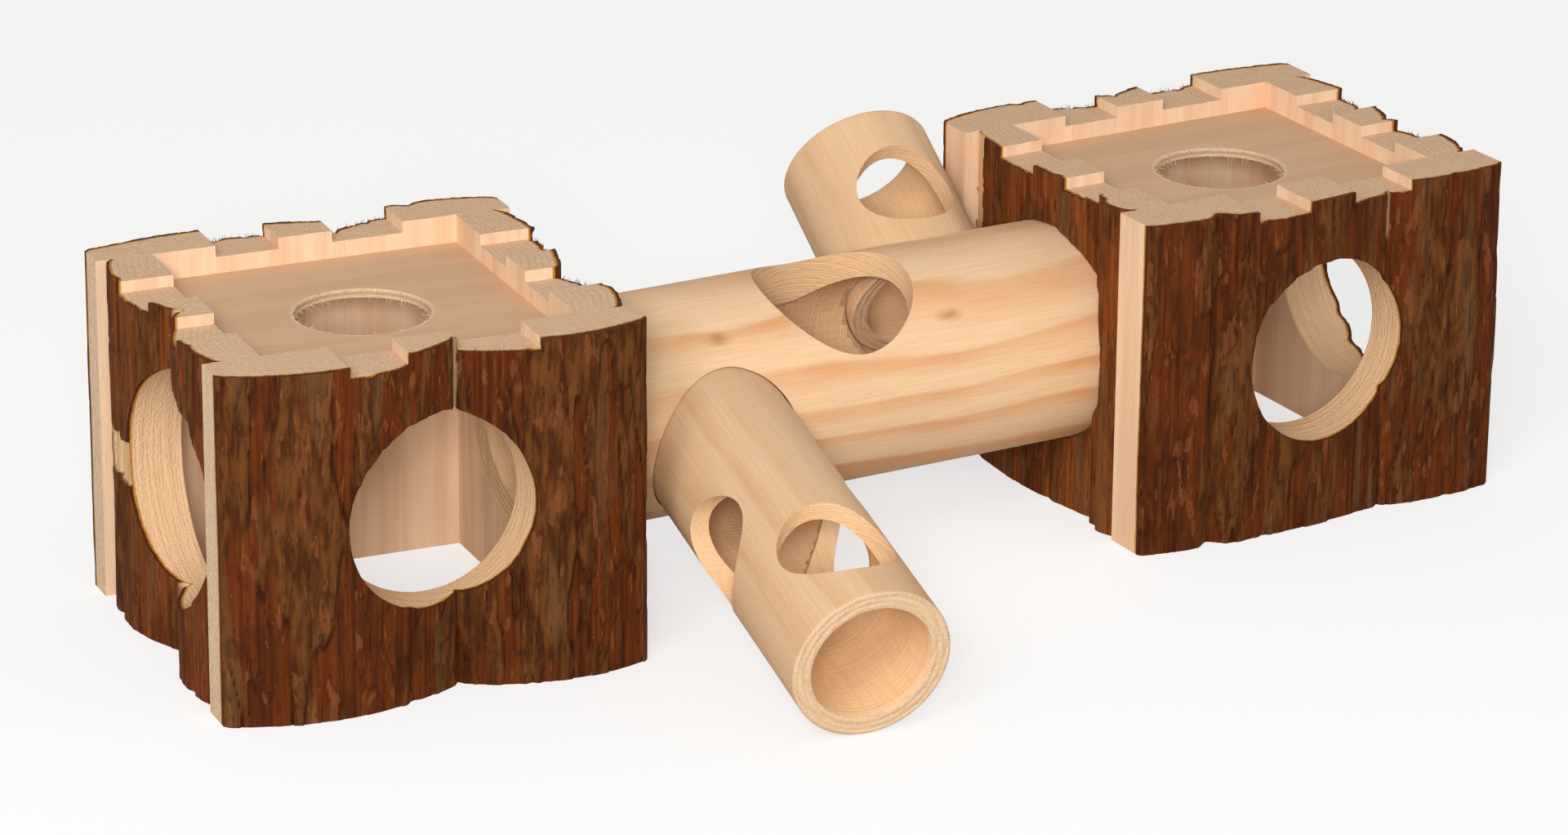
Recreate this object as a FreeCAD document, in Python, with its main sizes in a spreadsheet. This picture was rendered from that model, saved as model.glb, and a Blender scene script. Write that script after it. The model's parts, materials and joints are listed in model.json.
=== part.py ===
import FreeCAD, Part
import Sketcher
import math
import operator
import os

# Wooden hamster house in millimetres, +Z up, the ground at Z 0 and the open fronts facing -Y.
# Two open-bottomed towers of bark boards stand beside each other. A bored log joins them along X,
# and two smaller bored branches plug into the log, one down to the ground and one up to the back.

Vector = FreeCAD.Vector

SHARED_SIZES = {
    # Towers: each corner belongs to the front or back wall, and the side walls stand between them.
    "tower_width": 143.0,
    "tower_depth": 131.0,
    "tower_height": 116.0,
    "side_thickness": 15.0,
    "side_recess": 4.0,
    "tower_gap": 180.0,
    "tower_turn": 6.06,
    # Castle top: two gaps in each wall, either side of a merlon at the wall's middle.
    "crenel_depth": 4.0,
    "face_merlon": 18.5,
    "face_crenel_one": 21.5,
    "face_crenel_two": 24.5,
    "side_merlon": 17.0,
    "side_crenel_one": 20.0,
    "side_crenel_two": 22.5,
    # Roof panel, let in below the castle top.
    "panel_thickness": 3.0,
    "panel_drop": 9.5,
    "roof_hole_radius": 22.0,
    # Front entrances, and the web left between the left tower's outer port and its front wall.
    "entrance_radius": 32.0,
    "entrance_height": 61.8,
    "port_web": 2.0,
    # Tunnel log between the towers. Every side bore of a tower takes such a log.
    "tunnel_height": 60.0,
    "tunnel_radius": 37.5,
    "tunnel_wall": 9.0,
    "plug_depth": 17.0,
    "plug_clearance": 0.3,
    "window_radius": 27.0,
    "window_shift": 2.2,
    "window_elevation": 73.0,
    # Branches that plug into the log. A setback is the distance along the log from the nearer
    # tower to the branch's side, or from the front branch's outer end back to a window's middle.
    "branch_radius": 26.5,
    "branch_wall": 6.5,
    "branch_clearance": 0.3,
    "branch_inner_end": 21.0,
    "front_setback": 16.0,
    "front_lean": 7.45,
    "front_slope": 12.2,
    "front_top_window_setback": 33.7,
    "front_top_window_radius": 19.0,
    "front_side_window_setback": 69.6,
    "front_side_window_radius": 18.4,
    "back_setback": 10.2,
    "back_lean": 5.5,
    "back_rise": 30.0,
    "back_reach": 85.7,
    "back_window_place": 52.0,
    "back_window_radius": 16.7,
    # Where the middle of the whole outline lies, measured once the pieces are built.
    "middle_x": 0.0,
    "middle_y": 0.0,
}

FACE_WALL_THICKNESS = {
    "left_front_thickness": 13.5,
    "left_back_thickness": 12.5,
    "right_front_thickness": 17.5,
    "right_back_thickness": 15.5,
}

# The two boards of each wall, as seen from outside: the seam's distance from the wall's left end,
# how far each board swells outward at its middle, and how far both fall back at the seam.
WALL_BOARDS = {
    "left_front": {"seam": 80.0, "crown_one": 8.0, "crown_two": 5.6, "seam_dip": 5.0},
    "left_right": {"seam": 57.0, "crown_one": 4.5, "crown_two": 4.0, "seam_dip": 2.0},
    "left_back": {"seam": 58.0, "crown_one": 6.0, "crown_two": 5.0, "seam_dip": 2.5},
    "left_left": {"seam": 68.0, "crown_one": 4.5, "crown_two": 4.5, "seam_dip": 4.5},
    "right_front": {"seam": 97.0, "crown_one": 4.8, "crown_two": 2.8, "seam_dip": 1.0},
    "right_right": {"seam": 60.0, "crown_one": 4.5, "crown_two": 5.0, "seam_dip": 2.0},
    "right_back": {"seam": 75.0, "crown_one": 5.0, "crown_two": 6.0, "seam_dip": 2.5},
    "right_left": {"seam": 93.0, "crown_one": 3.0, "crown_two": 4.0, "seam_dip": 1.0},
}


class Size:
    """A number together with the spreadsheet formula that it comes from."""

    def __init__(self, number, formula):
        self.number = number
        self.formula = formula

    def __add__(self, other):
        return combined(self, "+", other, operator.add)

    def __sub__(self, other):
        return combined(self, "-", other, operator.sub)

    def __mul__(self, other):
        return combined(self, "*", other, operator.mul)

    def __truediv__(self, other):
        return combined(self, "/", other, operator.truediv)


def as_size(value):
    if isinstance(value, Size):
        return value
    return Size(float(value), "(%s)" % float(value))


def combined(first, sign, second, work):
    first = as_size(first)
    second = as_size(second)
    formula = "(%s %s %s)" % (first.formula, sign, second.formula)
    return Size(work(first.number, second.number), formula)


def size(alias):
    return Size(ALL_SIZES[alias], "sizes." + alias)


def negative(value):
    return as_size(0) - value


def of_angle(function_name, angle):
    number = getattr(math, function_name)(math.radians(angle.number))
    return Size(number, "%s(%s)" % (function_name, angle.formula))


def spreadsheet(document, numbers):
    sheet = document.addObject("Spreadsheet::Sheet", "sizes")
    for row, (alias, number) in enumerate(numbers.items(), start=1):
        sheet.set("A%d" % row, alias)
        sheet.set("B%d" % row, str(number))
        sheet.setAlias("B%d" % row, alias)
    document.recompute()
    return sheet


ALL_SIZES = dict(SHARED_SIZES)
ALL_SIZES.update(FACE_WALL_THICKNESS)
for wall_name, wall_numbers in WALL_BOARDS.items():
    for item, number in wall_numbers.items():
        ALL_SIZES[wall_name + "_" + item] = number

document = FreeCAD.newDocument("hamster_house")
sheet = spreadsheet(document, ALL_SIZES)

tower_width = size("tower_width")
tower_depth = size("tower_depth")
tower_height = size("tower_height")
tower_turn = size("tower_turn")
tunnel_height = size("tunnel_height")
side_inner_face = size("side_recess") + size("side_thickness")
front_branch_at = size("front_setback") + size("branch_radius")
back_branch_at = size("tower_gap") - size("back_setback") - size("branch_radius")
window_at = size("tower_gap") / 2 + size("window_shift")


def place(x=0, y=0, z=0, yaw=0, pitch=0, roll=0):
    """The formula of a placement: a point, then turns about Z, Y and X in degrees."""
    words = [as_size(value).formula for value in (x, y, z, yaw, pitch, roll)]
    return "placement(vector(%s; %s; %s); rotation(%s; %s; %s))" % tuple(words)


HOUSE_PLACE = place(negative(size("middle_x")), negative(size("middle_y")))


def new_body(label, *places):
    """A body named after its piece, placed in the house by the given chain of placements."""
    body = document.addObject("PartDesign::Body", label)
    body.Label = label
    body.setExpression("Placement", " * ".join((HOUSE_PLACE,) + places))
    return body


def new_sketch(body, name, plane_role, offset):
    sketch = body.newObject("Sketcher::SketchObject", body.Name + "_" + name)
    for feature in body.Origin.OriginFeatures:
        if feature.Role == plane_role:
            sketch.AttachmentSupport = [(feature, "")]
    sketch.MapMode = "FlatFace"
    sketch.setExpression("AttachmentOffset", offset)
    return sketch


def pin_point(sketch, geometry, end, point):
    """Dimensions that hold a point of a sketch at its distances from the sketch's origin."""
    for kind, distance in zip(("DistanceX", "DistanceY"), point):
        constraint = Sketcher.Constraint(kind, -1, 1, geometry, end, distance.number)
        index = sketch.addConstraint(constraint)
        sketch.setExpression("Constraints[%d]" % index, distance.formula)


def flat_point(point):
    return Vector(point[0].number, point[1].number, 0)


def add_outline(sketch, corners, swell=None):
    """A closed anticlockwise outline. With swell, its first edge is an arc through that point."""
    corners = [(as_size(x), as_size(y)) for x, y in corners]
    edges = []
    for index, corner in enumerate(corners):
        start = flat_point(corner)
        finish = flat_point(corners[(index + 1) % len(corners)])
        if swell and index == 0:
            shape = Part.Arc(start, flat_point(swell), finish)
        else:
            shape = Part.LineSegment(start, finish)
        edges.append(sketch.addGeometry(shape, False))
    for index, edge in enumerate(edges):
        sketch.addConstraint(Sketcher.Constraint("Coincident", edge, 2, edges[(index + 1) % len(edges)], 1))
        pin_point(sketch, edge, 1, corners[index])
    if swell:
        marker = sketch.addGeometry(Part.Point(flat_point(swell)), True)
        sketch.addConstraint(Sketcher.Constraint("PointOnObject", marker, 1, edges[0]))
        pin_point(sketch, marker, 1, swell)


def add_circle(sketch, centre, radius):
    centre = (as_size(centre[0]), as_size(centre[1]))
    circle = Part.Circle(flat_point(centre), Vector(0, 0, 1), radius.number)
    geometry = sketch.addGeometry(circle, False)
    pin_point(sketch, geometry, 3, centre)
    index = sketch.addConstraint(Sketcher.Constraint("Radius", geometry, radius.number))
    sketch.setExpression("Constraints[%d]" % index, radius.formula)


def add_pad(body, sketch, length):
    pad = body.newObject("PartDesign::Pad", sketch.Name + "_pad")
    pad.Profile = sketch
    pad.setExpression("Length", length.formula)
    document.recompute()
    return pad


def cut_through(body, sketch, both_ways, along_normal=False):
    """A cut right through the body, both ways from the sketch or one way only."""
    before = body.Shape.Volume
    pocket = body.newObject("PartDesign::Pocket", sketch.Name + "_cut")
    pocket.Profile = sketch
    pocket.Type = "ThroughAll"
    pocket.SideType = "Symmetric" if both_ways else "One side"
    pocket.Reversed = along_normal
    document.recompute()
    if not body.Shape.Volume < before:
        raise RuntimeError(pocket.Name + " removes nothing")


# Walls

WALL_SIDES = ("front", "right", "back", "left")


def wall_layout(tower, side):
    """Where a wall's own axes lie in its tower. They run along it from its left end, seen from
    outside, with the outside at negative y."""
    front_thickness = size(tower + "_front_thickness")
    back_thickness = size(tower + "_back_thickness")
    if side == "front":
        return {"place": place(), "length": tower_width, "begin": as_size(0), "finish": tower_width,
                "face": as_size(0), "thickness": front_thickness}
    if side == "back":
        return {"place": place(tower_width, tower_depth, 0, 180), "length": tower_width,
                "begin": as_size(0), "finish": tower_width,
                "face": as_size(0), "thickness": back_thickness}
    if side == "right":
        return {"place": place(tower_width, 0, 0, 90), "length": tower_depth,
                "begin": front_thickness, "finish": tower_depth - back_thickness,
                "face": size("side_recess"), "thickness": size("side_thickness")}
    return {"place": place(0, tower_depth, 0, -90), "length": tower_depth,
            "begin": back_thickness, "finish": tower_depth - front_thickness,
            "face": size("side_recess"), "thickness": size("side_thickness")}


def crenel_spans(layout, side):
    """The two gaps in a wall's castle top, from the left end of the wall. The narrower gap is
    nearer the house's front on a side wall, and on the left on a front or back wall."""
    kind = "face" if side in ("front", "back") else "side"
    middle = layout["length"] / 2
    half_merlon = size(kind + "_merlon") / 2
    widths = [size(kind + "_crenel_one"), size(kind + "_crenel_two")]
    if side in ("back", "left"):
        widths.reverse()
    first = (middle - half_merlon - widths[0], middle - half_merlon)
    second = (middle + half_merlon, middle + half_merlon + widths[1])
    return [first, second]


def wall_hole(tower, side):
    """The round hole of a wall: its distance from the wall's left end, height, radius and the
    turn of its axis, or None on the blank back walls."""
    if side == "back":
        return None
    if side == "front":
        return {"along": tower_width / 2, "height": size("entrance_height"),
                "radius": size("entrance_radius"), "turn": as_size(0)}
    radius = size("tunnel_radius") + size("plug_clearance")
    along = tower_depth / 2
    turn = as_size(0)
    if tower == "left":
        # The left tower stands askew on the log, so its bores run askew through its side walls,
        # and its outer port comes out close behind the front wall, with a thin web between.
        turn = tower_turn
        if side == "left":
            along = tower_depth - size("left_front_thickness") - size("port_web") - radius
    return {"along": along, "height": tunnel_height, "radius": radius, "turn": turn}


def overlaps(begin, finish, low, high):
    return low.number < finish.number and high.number > begin.number


def build_board(tower, side, order, tower_place):
    """One upright bark board: half of a wall, swelling outward between its edges."""
    layout = wall_layout(tower, side)
    wall_sizes = tower + "_" + side
    seam = size(wall_sizes + "_seam")
    seam_face = layout["face"] + size(wall_sizes + "_seam_dip")
    if order == "one":
        begin, finish = layout["begin"], seam
        begin_face, finish_face = layout["face"], seam_face
    else:
        begin, finish = seam, layout["finish"]
        begin_face, finish_face = seam_face, layout["face"]
    label = "%s_tower_%s_board_%s" % (tower, side, order)
    body = new_body(label, tower_place, layout["place"])
    inner_face = layout["face"] + layout["thickness"]
    crown = (begin + finish) / 2, layout["face"] - size(wall_sizes + "_crown_" + order)
    profile = new_sketch(body, "profile", "XY_Plane", place())
    corners = [(begin, begin_face), (finish, finish_face), (finish, inner_face), (begin, inner_face)]
    add_outline(profile, corners, crown)
    add_pad(body, profile, tower_height)

    castle_top = new_sketch(body, "castle_top", "XZ_Plane", place())
    clear_of_top = tower_height + size("crenel_depth")
    crenel_floor = tower_height - size("crenel_depth")
    for low, high in crenel_spans(layout, side):
        if overlaps(begin, finish, low, high):
            corners = [(low, crenel_floor), (high, crenel_floor), (high, clear_of_top), (low, clear_of_top)]
            add_outline(castle_top, corners)
    cut_through(body, castle_top, both_ways=True)

    hole = wall_hole(tower, side)
    if hole and overlaps(begin, finish, hole["along"] - hole["radius"], hole["along"] + hole["radius"]):
        offset = place(hole["along"], 0, 0, 0, hole["turn"])
        bore = new_sketch(body, "bore", "XZ_Plane", offset)
        add_circle(bore, (0, hole["height"]), hole["radius"])
        cut_through(body, bore, both_ways=True)


def build_roof_panel(tower, tower_place):
    """The thin panel inside the castle top, edge to edge with the walls' inner faces."""
    body = new_body(tower + "_tower_roof_panel", tower_place)
    underside = tower_height - size("panel_drop") - size("panel_thickness")
    sketch = new_sketch(body, "outline", "XY_Plane", place(0, 0, underside))
    left = side_inner_face
    right = tower_width - side_inner_face
    front = size(tower + "_front_thickness")
    back = tower_depth - size(tower + "_back_thickness")
    add_outline(sketch, [(left, front), (right, front), (right, back), (left, back)])
    add_circle(sketch, (tower_width / 2, tower_depth / 2), size("roof_hole_radius"))
    add_pad(body, sketch, size("panel_thickness"))


def build_tower(tower):
    """The four walls and roof panel. The left tower turns about the mouth of its tunnel socket."""
    if tower == "left":
        corner = place(negative(tower_width), negative(tower_depth / 2))
        tower_place = place(yaw=negative(tower_turn)) + " * " + corner
    else:
        tower_place = place(size("tower_gap"), negative(tower_depth / 2))
    for side in WALL_SIDES:
        for order in ("one", "two"):
            build_board(tower, side, order, tower_place)
    build_roof_panel(tower, tower_place)


# Log and branches

def add_ring(sketch, outer_radius, wall):
    add_circle(sketch, (0, 0), outer_radius)
    add_circle(sketch, (0, 0), outer_radius - wall)


def build_main_tube():
    """The bored log, lying along X, with a window on top and a socket for each branch."""
    plug_depth = size("plug_depth")
    body = new_body("main_tube", place(negative(plug_depth), 0, tunnel_height))
    ring = new_sketch(body, "ring", "YZ_Plane", place())
    add_ring(ring, size("tunnel_radius"), size("tunnel_wall"))
    add_pad(body, ring, size("tower_gap") + plug_depth * 2)
    socket_radius = size("branch_radius") + size("branch_clearance")
    # Each drill leaves the log's axis at its place, turned away from straight out of the front.
    drills = {
        "window": {"place": window_at, "radius": size("window_radius"),
                   "pitch": 0, "roll": negative(size("window_elevation"))},
        "front_socket": {"place": front_branch_at, "radius": socket_radius,
                         "pitch": negative(size("front_lean")), "roll": size("front_slope")},
        "back_socket": {"place": back_branch_at, "radius": socket_radius,
                        "pitch": as_size(180) - size("back_lean"), "roll": negative(size("back_rise"))},
    }
    for name, drill in drills.items():
        offset = place(plug_depth + drill["place"], 0, 0, 0, drill["pitch"], drill["roll"])
        sketch = new_sketch(body, name, "XZ_Plane", offset)
        add_circle(sketch, (0, 0), drill["radius"])
        cut_through(body, sketch, both_ways=False, along_normal=True)


def build_branch(label, branch_place, reach, windows):
    """A bored branch along its own Z axis, from just inside the log out to its reach. A top
    window goes through its upper wall, and side windows go through both sides."""
    body = new_body(label, branch_place)
    inner_end = size("branch_inner_end")
    ring = new_sketch(body, "ring", "XY_Plane", place(0, 0, inner_end))
    add_ring(ring, size("branch_radius"), size("branch_wall"))
    add_pad(body, ring, reach - inner_end)
    for window in windows:
        on_top = window["side"] == "top"
        sketch = new_sketch(body, window["side"] + "_window", "XZ_Plane" if on_top else "YZ_Plane", place())
        centre = (0, window["along"])
        add_circle(sketch, centre, window["radius"])
        cut_through(body, sketch, both_ways=not on_top)


def build_branches():
    front_slope = size("front_slope")
    # The lower edge of the front branch's end rests on the ground.
    drop = tunnel_height - size("branch_radius") * of_angle("cos", front_slope)
    front_reach = drop / of_angle("sin", front_slope)
    front_place = place(front_branch_at, 0, tunnel_height,
                        negative(size("front_lean")), 0, as_size(90) + front_slope)
    front_windows = []
    for side in ("top", "side"):
        along = front_reach - size("front_%s_window_setback" % side)
        front_windows.append({"side": side, "along": along, "radius": size("front_%s_window_radius" % side)})
    build_branch("front_tube", front_place, front_reach, front_windows)
    back_place = place(back_branch_at, 0, tunnel_height,
                       as_size(180) - size("back_lean"), 0, as_size(90) - size("back_rise"))
    back_window = {"side": "top", "along": size("back_window_place"), "radius": size("back_window_radius")}
    build_branch("back_tube", back_place, size("back_reach"), [back_window])


def set_size(alias, number):
    sheet.set(sheet.getCellFromAlias(alias), str(number))


def centre_house(bodies):
    """Bring the middle of the whole outline over the origin."""
    outline = FreeCAD.BoundBox()
    for body in bodies:
        outline.add(body.Shape.optimalBoundingBox(False))
    set_size("middle_x", outline.Center.x)
    set_size("middle_y", outline.Center.y)
    document.recompute()
    print("outline", outline)


def check_house(bodies):
    for item in document.Objects:
        if "Invalid" in item.State or "Error" in item.State:
            raise RuntimeError("%s has state %s" % (item.Name, item.State))
    for body in bodies:
        if body.Shape.isNull() or not body.Shape.isValid() or len(body.Shape.Solids) != 1:
            raise RuntimeError(body.Label + " isn't one valid solid")


for tower in ("left", "right"):
    build_tower(tower)
build_main_tube()
build_branches()
document.recompute()
bodies = [item for item in document.Objects if item.TypeId == "PartDesign::Body"]
centre_house(bodies)
check_house(bodies)
os.makedirs("parts", exist_ok=True)
for body in bodies:
    body.Shape.exportStep("parts/%s.step" % body.Label)
    print(body.Label, round(body.Shape.Volume / 1000.0, 1), "cm3")
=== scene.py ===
# %% [markdown]
# A wooden hamster house: two bark towers with castle tops, joined by a bored pine log that
# carries two smaller bored branches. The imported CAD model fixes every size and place. This
# file gives each piece its looks: bark with real relief, sawn and bored wood, pine figure.
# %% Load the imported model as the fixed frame
import json
import math

import bpy
import numpy as np
from mathutils import Matrix, Vector


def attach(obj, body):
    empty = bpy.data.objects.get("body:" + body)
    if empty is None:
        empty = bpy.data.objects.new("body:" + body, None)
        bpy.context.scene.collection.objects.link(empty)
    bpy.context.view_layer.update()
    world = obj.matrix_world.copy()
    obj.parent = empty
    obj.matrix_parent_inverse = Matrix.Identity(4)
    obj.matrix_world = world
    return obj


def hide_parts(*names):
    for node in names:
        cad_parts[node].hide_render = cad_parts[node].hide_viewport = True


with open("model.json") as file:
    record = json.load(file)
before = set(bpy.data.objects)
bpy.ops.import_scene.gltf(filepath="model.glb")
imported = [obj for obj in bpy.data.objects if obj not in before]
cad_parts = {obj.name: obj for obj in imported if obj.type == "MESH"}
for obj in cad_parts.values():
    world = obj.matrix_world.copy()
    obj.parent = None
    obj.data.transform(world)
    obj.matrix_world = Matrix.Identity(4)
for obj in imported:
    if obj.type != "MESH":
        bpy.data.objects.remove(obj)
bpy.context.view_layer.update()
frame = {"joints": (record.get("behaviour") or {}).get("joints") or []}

# %% [markdown]
# The sizes below are the construction's own, in millimetres, so that each visible piece fits
# its CAD solid. The front branch's joint says where its axis leaves the log, and that one point
# places everything: lengths along the log are counted from the left tower's corner line.
# %% Sizes of the house in millimetres
MM = 0.001
TOWER_WIDTH, TOWER_DEPTH, TOWER_HEIGHT = 143.0, 131.0, 116.0
TOWER_GAP = 180.0
LEFT_TOWER_TURN = 6.06
SIDE_THICKNESS, SIDE_RECESS = 15.0, 4.0
FACE_THICKNESS = {"left_front": 13.5, "left_back": 12.5, "right_front": 17.5, "right_back": 15.5}
CRENEL_DEPTH = 4.0
CRENELS = {"face": (21.5, 18.5, 24.5), "side": (20.0, 17.0, 22.5)}
ENTRANCE_RADIUS, ENTRANCE_HEIGHT = 32.0, 61.8
PORT_WEB = 2.0
TUNNEL_HEIGHT, TUNNEL_RADIUS, TUNNEL_WALL = 60.0, 37.5, 9.0
PLUG_DEPTH, PLUG_CLEARANCE = 17.0, 0.3
BRANCH_RADIUS, BRANCH_WALL, BRANCH_INNER_END = 26.5, 6.5, 21.0
FRONT_BRANCH_AT, FRONT_LEAN, FRONT_SLOPE = 42.5, 7.45, 12.2
BACK_BRANCH_AT, BACK_LEAN, BACK_RISE, BACK_REACH = 143.3, 5.5, 30.0, 85.7
WINDOW_AT, WINDOW_RADIUS, WINDOW_ELEVATION = 92.2, 27.0, 73.0
FRONT_WINDOW_BACK, FRONT_WINDOW_RADIUS = 33.7, 19.0
SIDE_WINDOW_BACK, SIDE_WINDOW_RADIUS = 69.6, 18.4
BACK_WINDOW_AT, BACK_WINDOW_RADIUS = 52.0, 16.7
PANEL_THICKNESS, PANEL_DROP, ROOF_HOLE_RADIUS = 3.0, 9.5, 22.0

joints = {joint["name"]: joint for joint in frame["joints"]}
branch_root = np.array(joints["front_branch_turn"]["pos_m"]) / MM
log_start = branch_root - (FRONT_BRANCH_AT, 0.0, TUNNEL_HEIGHT)
print("the log's zero point lies at", np.round(log_start, 2), "mm")

# %% [markdown]
# Placements are 4 x 4 matrices. A board is shaped in its wall's own axes, where it is easy to
# think about: along the wall, into the wall, and up. Its matrix then carries the finished mesh
# into the house, so the object itself can stay at the origin.
# %% Placement helpers
def moved(x=0.0, y=0.0, z=0.0):
    """A shift along the three axes."""
    matrix = np.eye(4)
    matrix[:3, 3] = (x, y, z)
    return matrix


def turned(axis, degrees):
    """A turn about X, Y or Z, by the right-hand rule."""
    matrix = np.eye(4)
    first, second = {"X": (1, 2), "Y": (2, 0), "Z": (0, 1)}[axis]
    cosine, sine = math.cos(math.radians(degrees)), math.sin(math.radians(degrees))
    matrix[first, first] = matrix[second, second] = cosine
    matrix[first, second], matrix[second, first] = -sine, sine
    return matrix


def carried(matrix, points):
    """The points, one to a row, where the matrix takes them."""
    return points @ matrix[:3, :3].T + matrix[:3, 3]


TOWER_PLACES = {
    "left": moved(*log_start) @ turned("Z", -LEFT_TOWER_TURN) @ moved(-TOWER_WIDTH, -TOWER_DEPTH / 2),
    "right": moved(*log_start) @ moved(TOWER_GAP, -TOWER_DEPTH / 2),
}
WALL_PLACES = {
    "front": moved(),
    "right": moved(TOWER_WIDTH) @ turned("Z", 90),
    "back": moved(TOWER_WIDTH, TOWER_DEPTH) @ turned("Z", 180),
    "left": moved(0, TOWER_DEPTH) @ turned("Z", -90),
}
print("towers stand at", {name: np.round(place[:3, 3], 1).tolist() for name, place in TOWER_PLACES.items()})

# %% [markdown]
# Wood is never even. Value noise, smooth random numbers on a lattice, gives every wander, flake
# and saw mark here. It is worked out from the coordinates alone, so each run gives the same house,
# and it takes whole arrays at once, which keeps a million points quick.
# %% Noise helpers
def lattice(ix, iy, seed):
    """One random number from -1 to 1 for each lattice point."""
    mixed = (ix * 374761393 + iy * 668265263 + seed * 974634777) & 0xFFFFFFFF
    mixed = ((mixed ^ (mixed >> 13)) * 1274126177) & 0xFFFFFFFF
    return ((mixed ^ (mixed >> 16)) & 0xFFFF) / 32767.5 - 1.0


def smooth_noise(x, y, seed):
    """Smooth between the lattice's random numbers, one hill or dip to each unit."""
    ix, iy = np.floor(x).astype(np.int64), np.floor(y).astype(np.int64)
    fx, fy = x - ix, y - iy
    fx, fy = fx * fx * (3 - 2 * fx), fy * fy * (3 - 2 * fy)
    low = lattice(ix, iy, seed) * (1 - fx) + lattice(ix + 1, iy, seed) * fx
    high = lattice(ix, iy + 1, seed) * (1 - fx) + lattice(ix + 1, iy + 1, seed) * fx
    return low * (1 - fy) + high * fy


def fractal(x, y, seed, octaves=3):
    """Smooth noise with finer, weaker noise on it."""
    total, weight = 0.0, 1.0
    for octave in range(octaves):
        total = total + weight * smooth_noise(x * 2 ** octave, y * 2 ** octave, seed + octave)
        weight *= 0.5
    return total / 1.6


def ramped(value, low, high):
    """0 below low, 1 above high, and a smooth step between."""
    t = np.clip((value - low) / (high - low), 0, 1)
    return t * t * (3 - 2 * t)


sample = fractal(np.linspace(0.0, 90.0, 900), np.zeros(900), 1)
print("a line of noise runs from", round(sample.min(), 2), "to", round(sample.max(), 2))

# %% [markdown]
# Meshes are made from arrays. A closed block is a cube's six faces, each a grid of its own
# density, bent by a shape function that takes a point of the cube to a point of the piece. The
# grids share their edges exactly, so welding equal points closes the shell. A face that stays
# flat is one large polygon instead, which saves many thousands of triangles.
# %% Mesh helpers
def welded(points):
    """The different points, and for each given point its place among them."""
    keys = np.round(points, 4)
    kept, place = np.unique(keys, axis=0, return_inverse=True)
    return kept, place.ravel()


def grid_faces(rows, columns, start, flip):
    """Quads of a rows by columns grid of points, numbered row by row from start."""
    corner = (np.arange(rows - 1)[:, None] * columns + np.arange(columns - 1)[None, :]).ravel() + start
    quads = np.stack([corner, corner + columns, corner + columns + 1, corner + 1], axis=1)
    return quads[:, ::-1] if flip else quads


def closed_block(us, vs, ws, shape, slots, flat=()):
    """Points, faces and slot numbers of a block. Sides are named u0, u1, v0, v1, w0 and w1."""
    sides = {"u": (0, us), "v": (1, vs), "w": (2, ws)}
    flips = {"u0": True, "u1": False, "v0": False, "v1": True, "w0": True, "w1": False}
    points, faces, face_slots, total = [], [], [], 0
    for name, slot in slots.items():
        axis, values = sides[name[0]]
        fixed = values[0] if name[1] == "0" else values[-1]
        first, second = [sides[key][1] for key in "uvw" if key != name[0]]
        if name in flat:
            around = [(a, second[0]) for a in first[:-1]] + [(first[-1], b) for b in second[:-1]]
            around += [(a, second[-1]) for a in first[:0:-1]] + [(first[0], b) for b in second[:0:-1]]
            pairs = np.array(around, float)
        else:
            pairs = np.stack(np.meshgrid(first, second, indexing="ij"), axis=-1).reshape(-1, 2)
        cube = np.insert(pairs, axis, fixed, axis=1)
        placed = np.stack(shape(cube[:, 0], cube[:, 1], cube[:, 2]), axis=1)
        if name in flat:
            ring = np.arange(len(pairs)) + total
            new_faces = [tuple(ring[::-1] if flips[name] else ring)]
        else:
            new_faces = [tuple(quad) for quad in grid_faces(len(first), len(second), total, flips[name])]
        points.append(placed)
        faces += new_faces
        face_slots += [slot] * len(new_faces)
        total += len(placed)
    kept, place = welded(np.concatenate(points))
    return kept, [tuple(place[list(face)]) for face in faces], face_slots


def mesh_object(name, points, faces, face_slots, materials):
    """A linked object from points in millimetres, kept in millimetres until it is finished."""
    mesh = bpy.data.meshes.new(name)
    mesh.from_pydata([tuple(point) for point in points], [], [tuple(int(i) for i in f) for f in faces])
    for material in materials:
        mesh.materials.append(material)
    mesh.polygons.foreach_set("material_index", face_slots)
    mesh.update()
    piece = bpy.data.objects.new(name, mesh)
    bpy.context.scene.collection.objects.link(piece)
    return piece


def cut_away(piece, cutters):
    """The piece's mesh with each cutter taken out of it. Cut faces keep the cutter's material."""
    for cutter in cutters:
        tool = piece.modifiers.new("cut", "BOOLEAN")
        tool.operation = "DIFFERENCE"
        tool.solver = "MANIFOLD"
        tool.object = cutter
        whole = piece.evaluated_get(bpy.context.evaluated_depsgraph_get())
        result = bpy.data.meshes.new_from_object(whole)
        piece.modifiers.remove(tool)
        old = piece.data
        piece.data = result
        bpy.data.meshes.remove(old)


def vertex_array(mesh):
    flat = np.zeros(len(mesh.vertices) * 3)
    mesh.vertices.foreach_get("co", flat)
    return flat.reshape(-1, 3)


def store_number(mesh, name, values):
    attribute = mesh.attributes.new(name, "FLOAT", "POINT")
    attribute.data.foreach_set("value", np.asarray(values, np.float32))


def store_vector(mesh, name, values):
    attribute = mesh.attributes.new(name, "FLOAT_VECTOR", "POINT")
    attribute.data.foreach_set("vector", np.asarray(values, np.float32).ravel())


def settle(piece, matrix, smooth_angle=35.0):
    """Carries the mesh into the house in metres, with its edges sharp past an angle."""
    mesh = piece.data
    mesh.validate()
    placed = carried(matrix, vertex_array(mesh)) * MM
    mesh.vertices.foreach_set("co", placed.ravel())
    mesh.polygons.foreach_set("use_smooth", [True] * len(mesh.polygons))
    mesh.set_sharp_from_angle(angle=math.radians(smooth_angle))
    mesh.update()
    return piece


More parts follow.
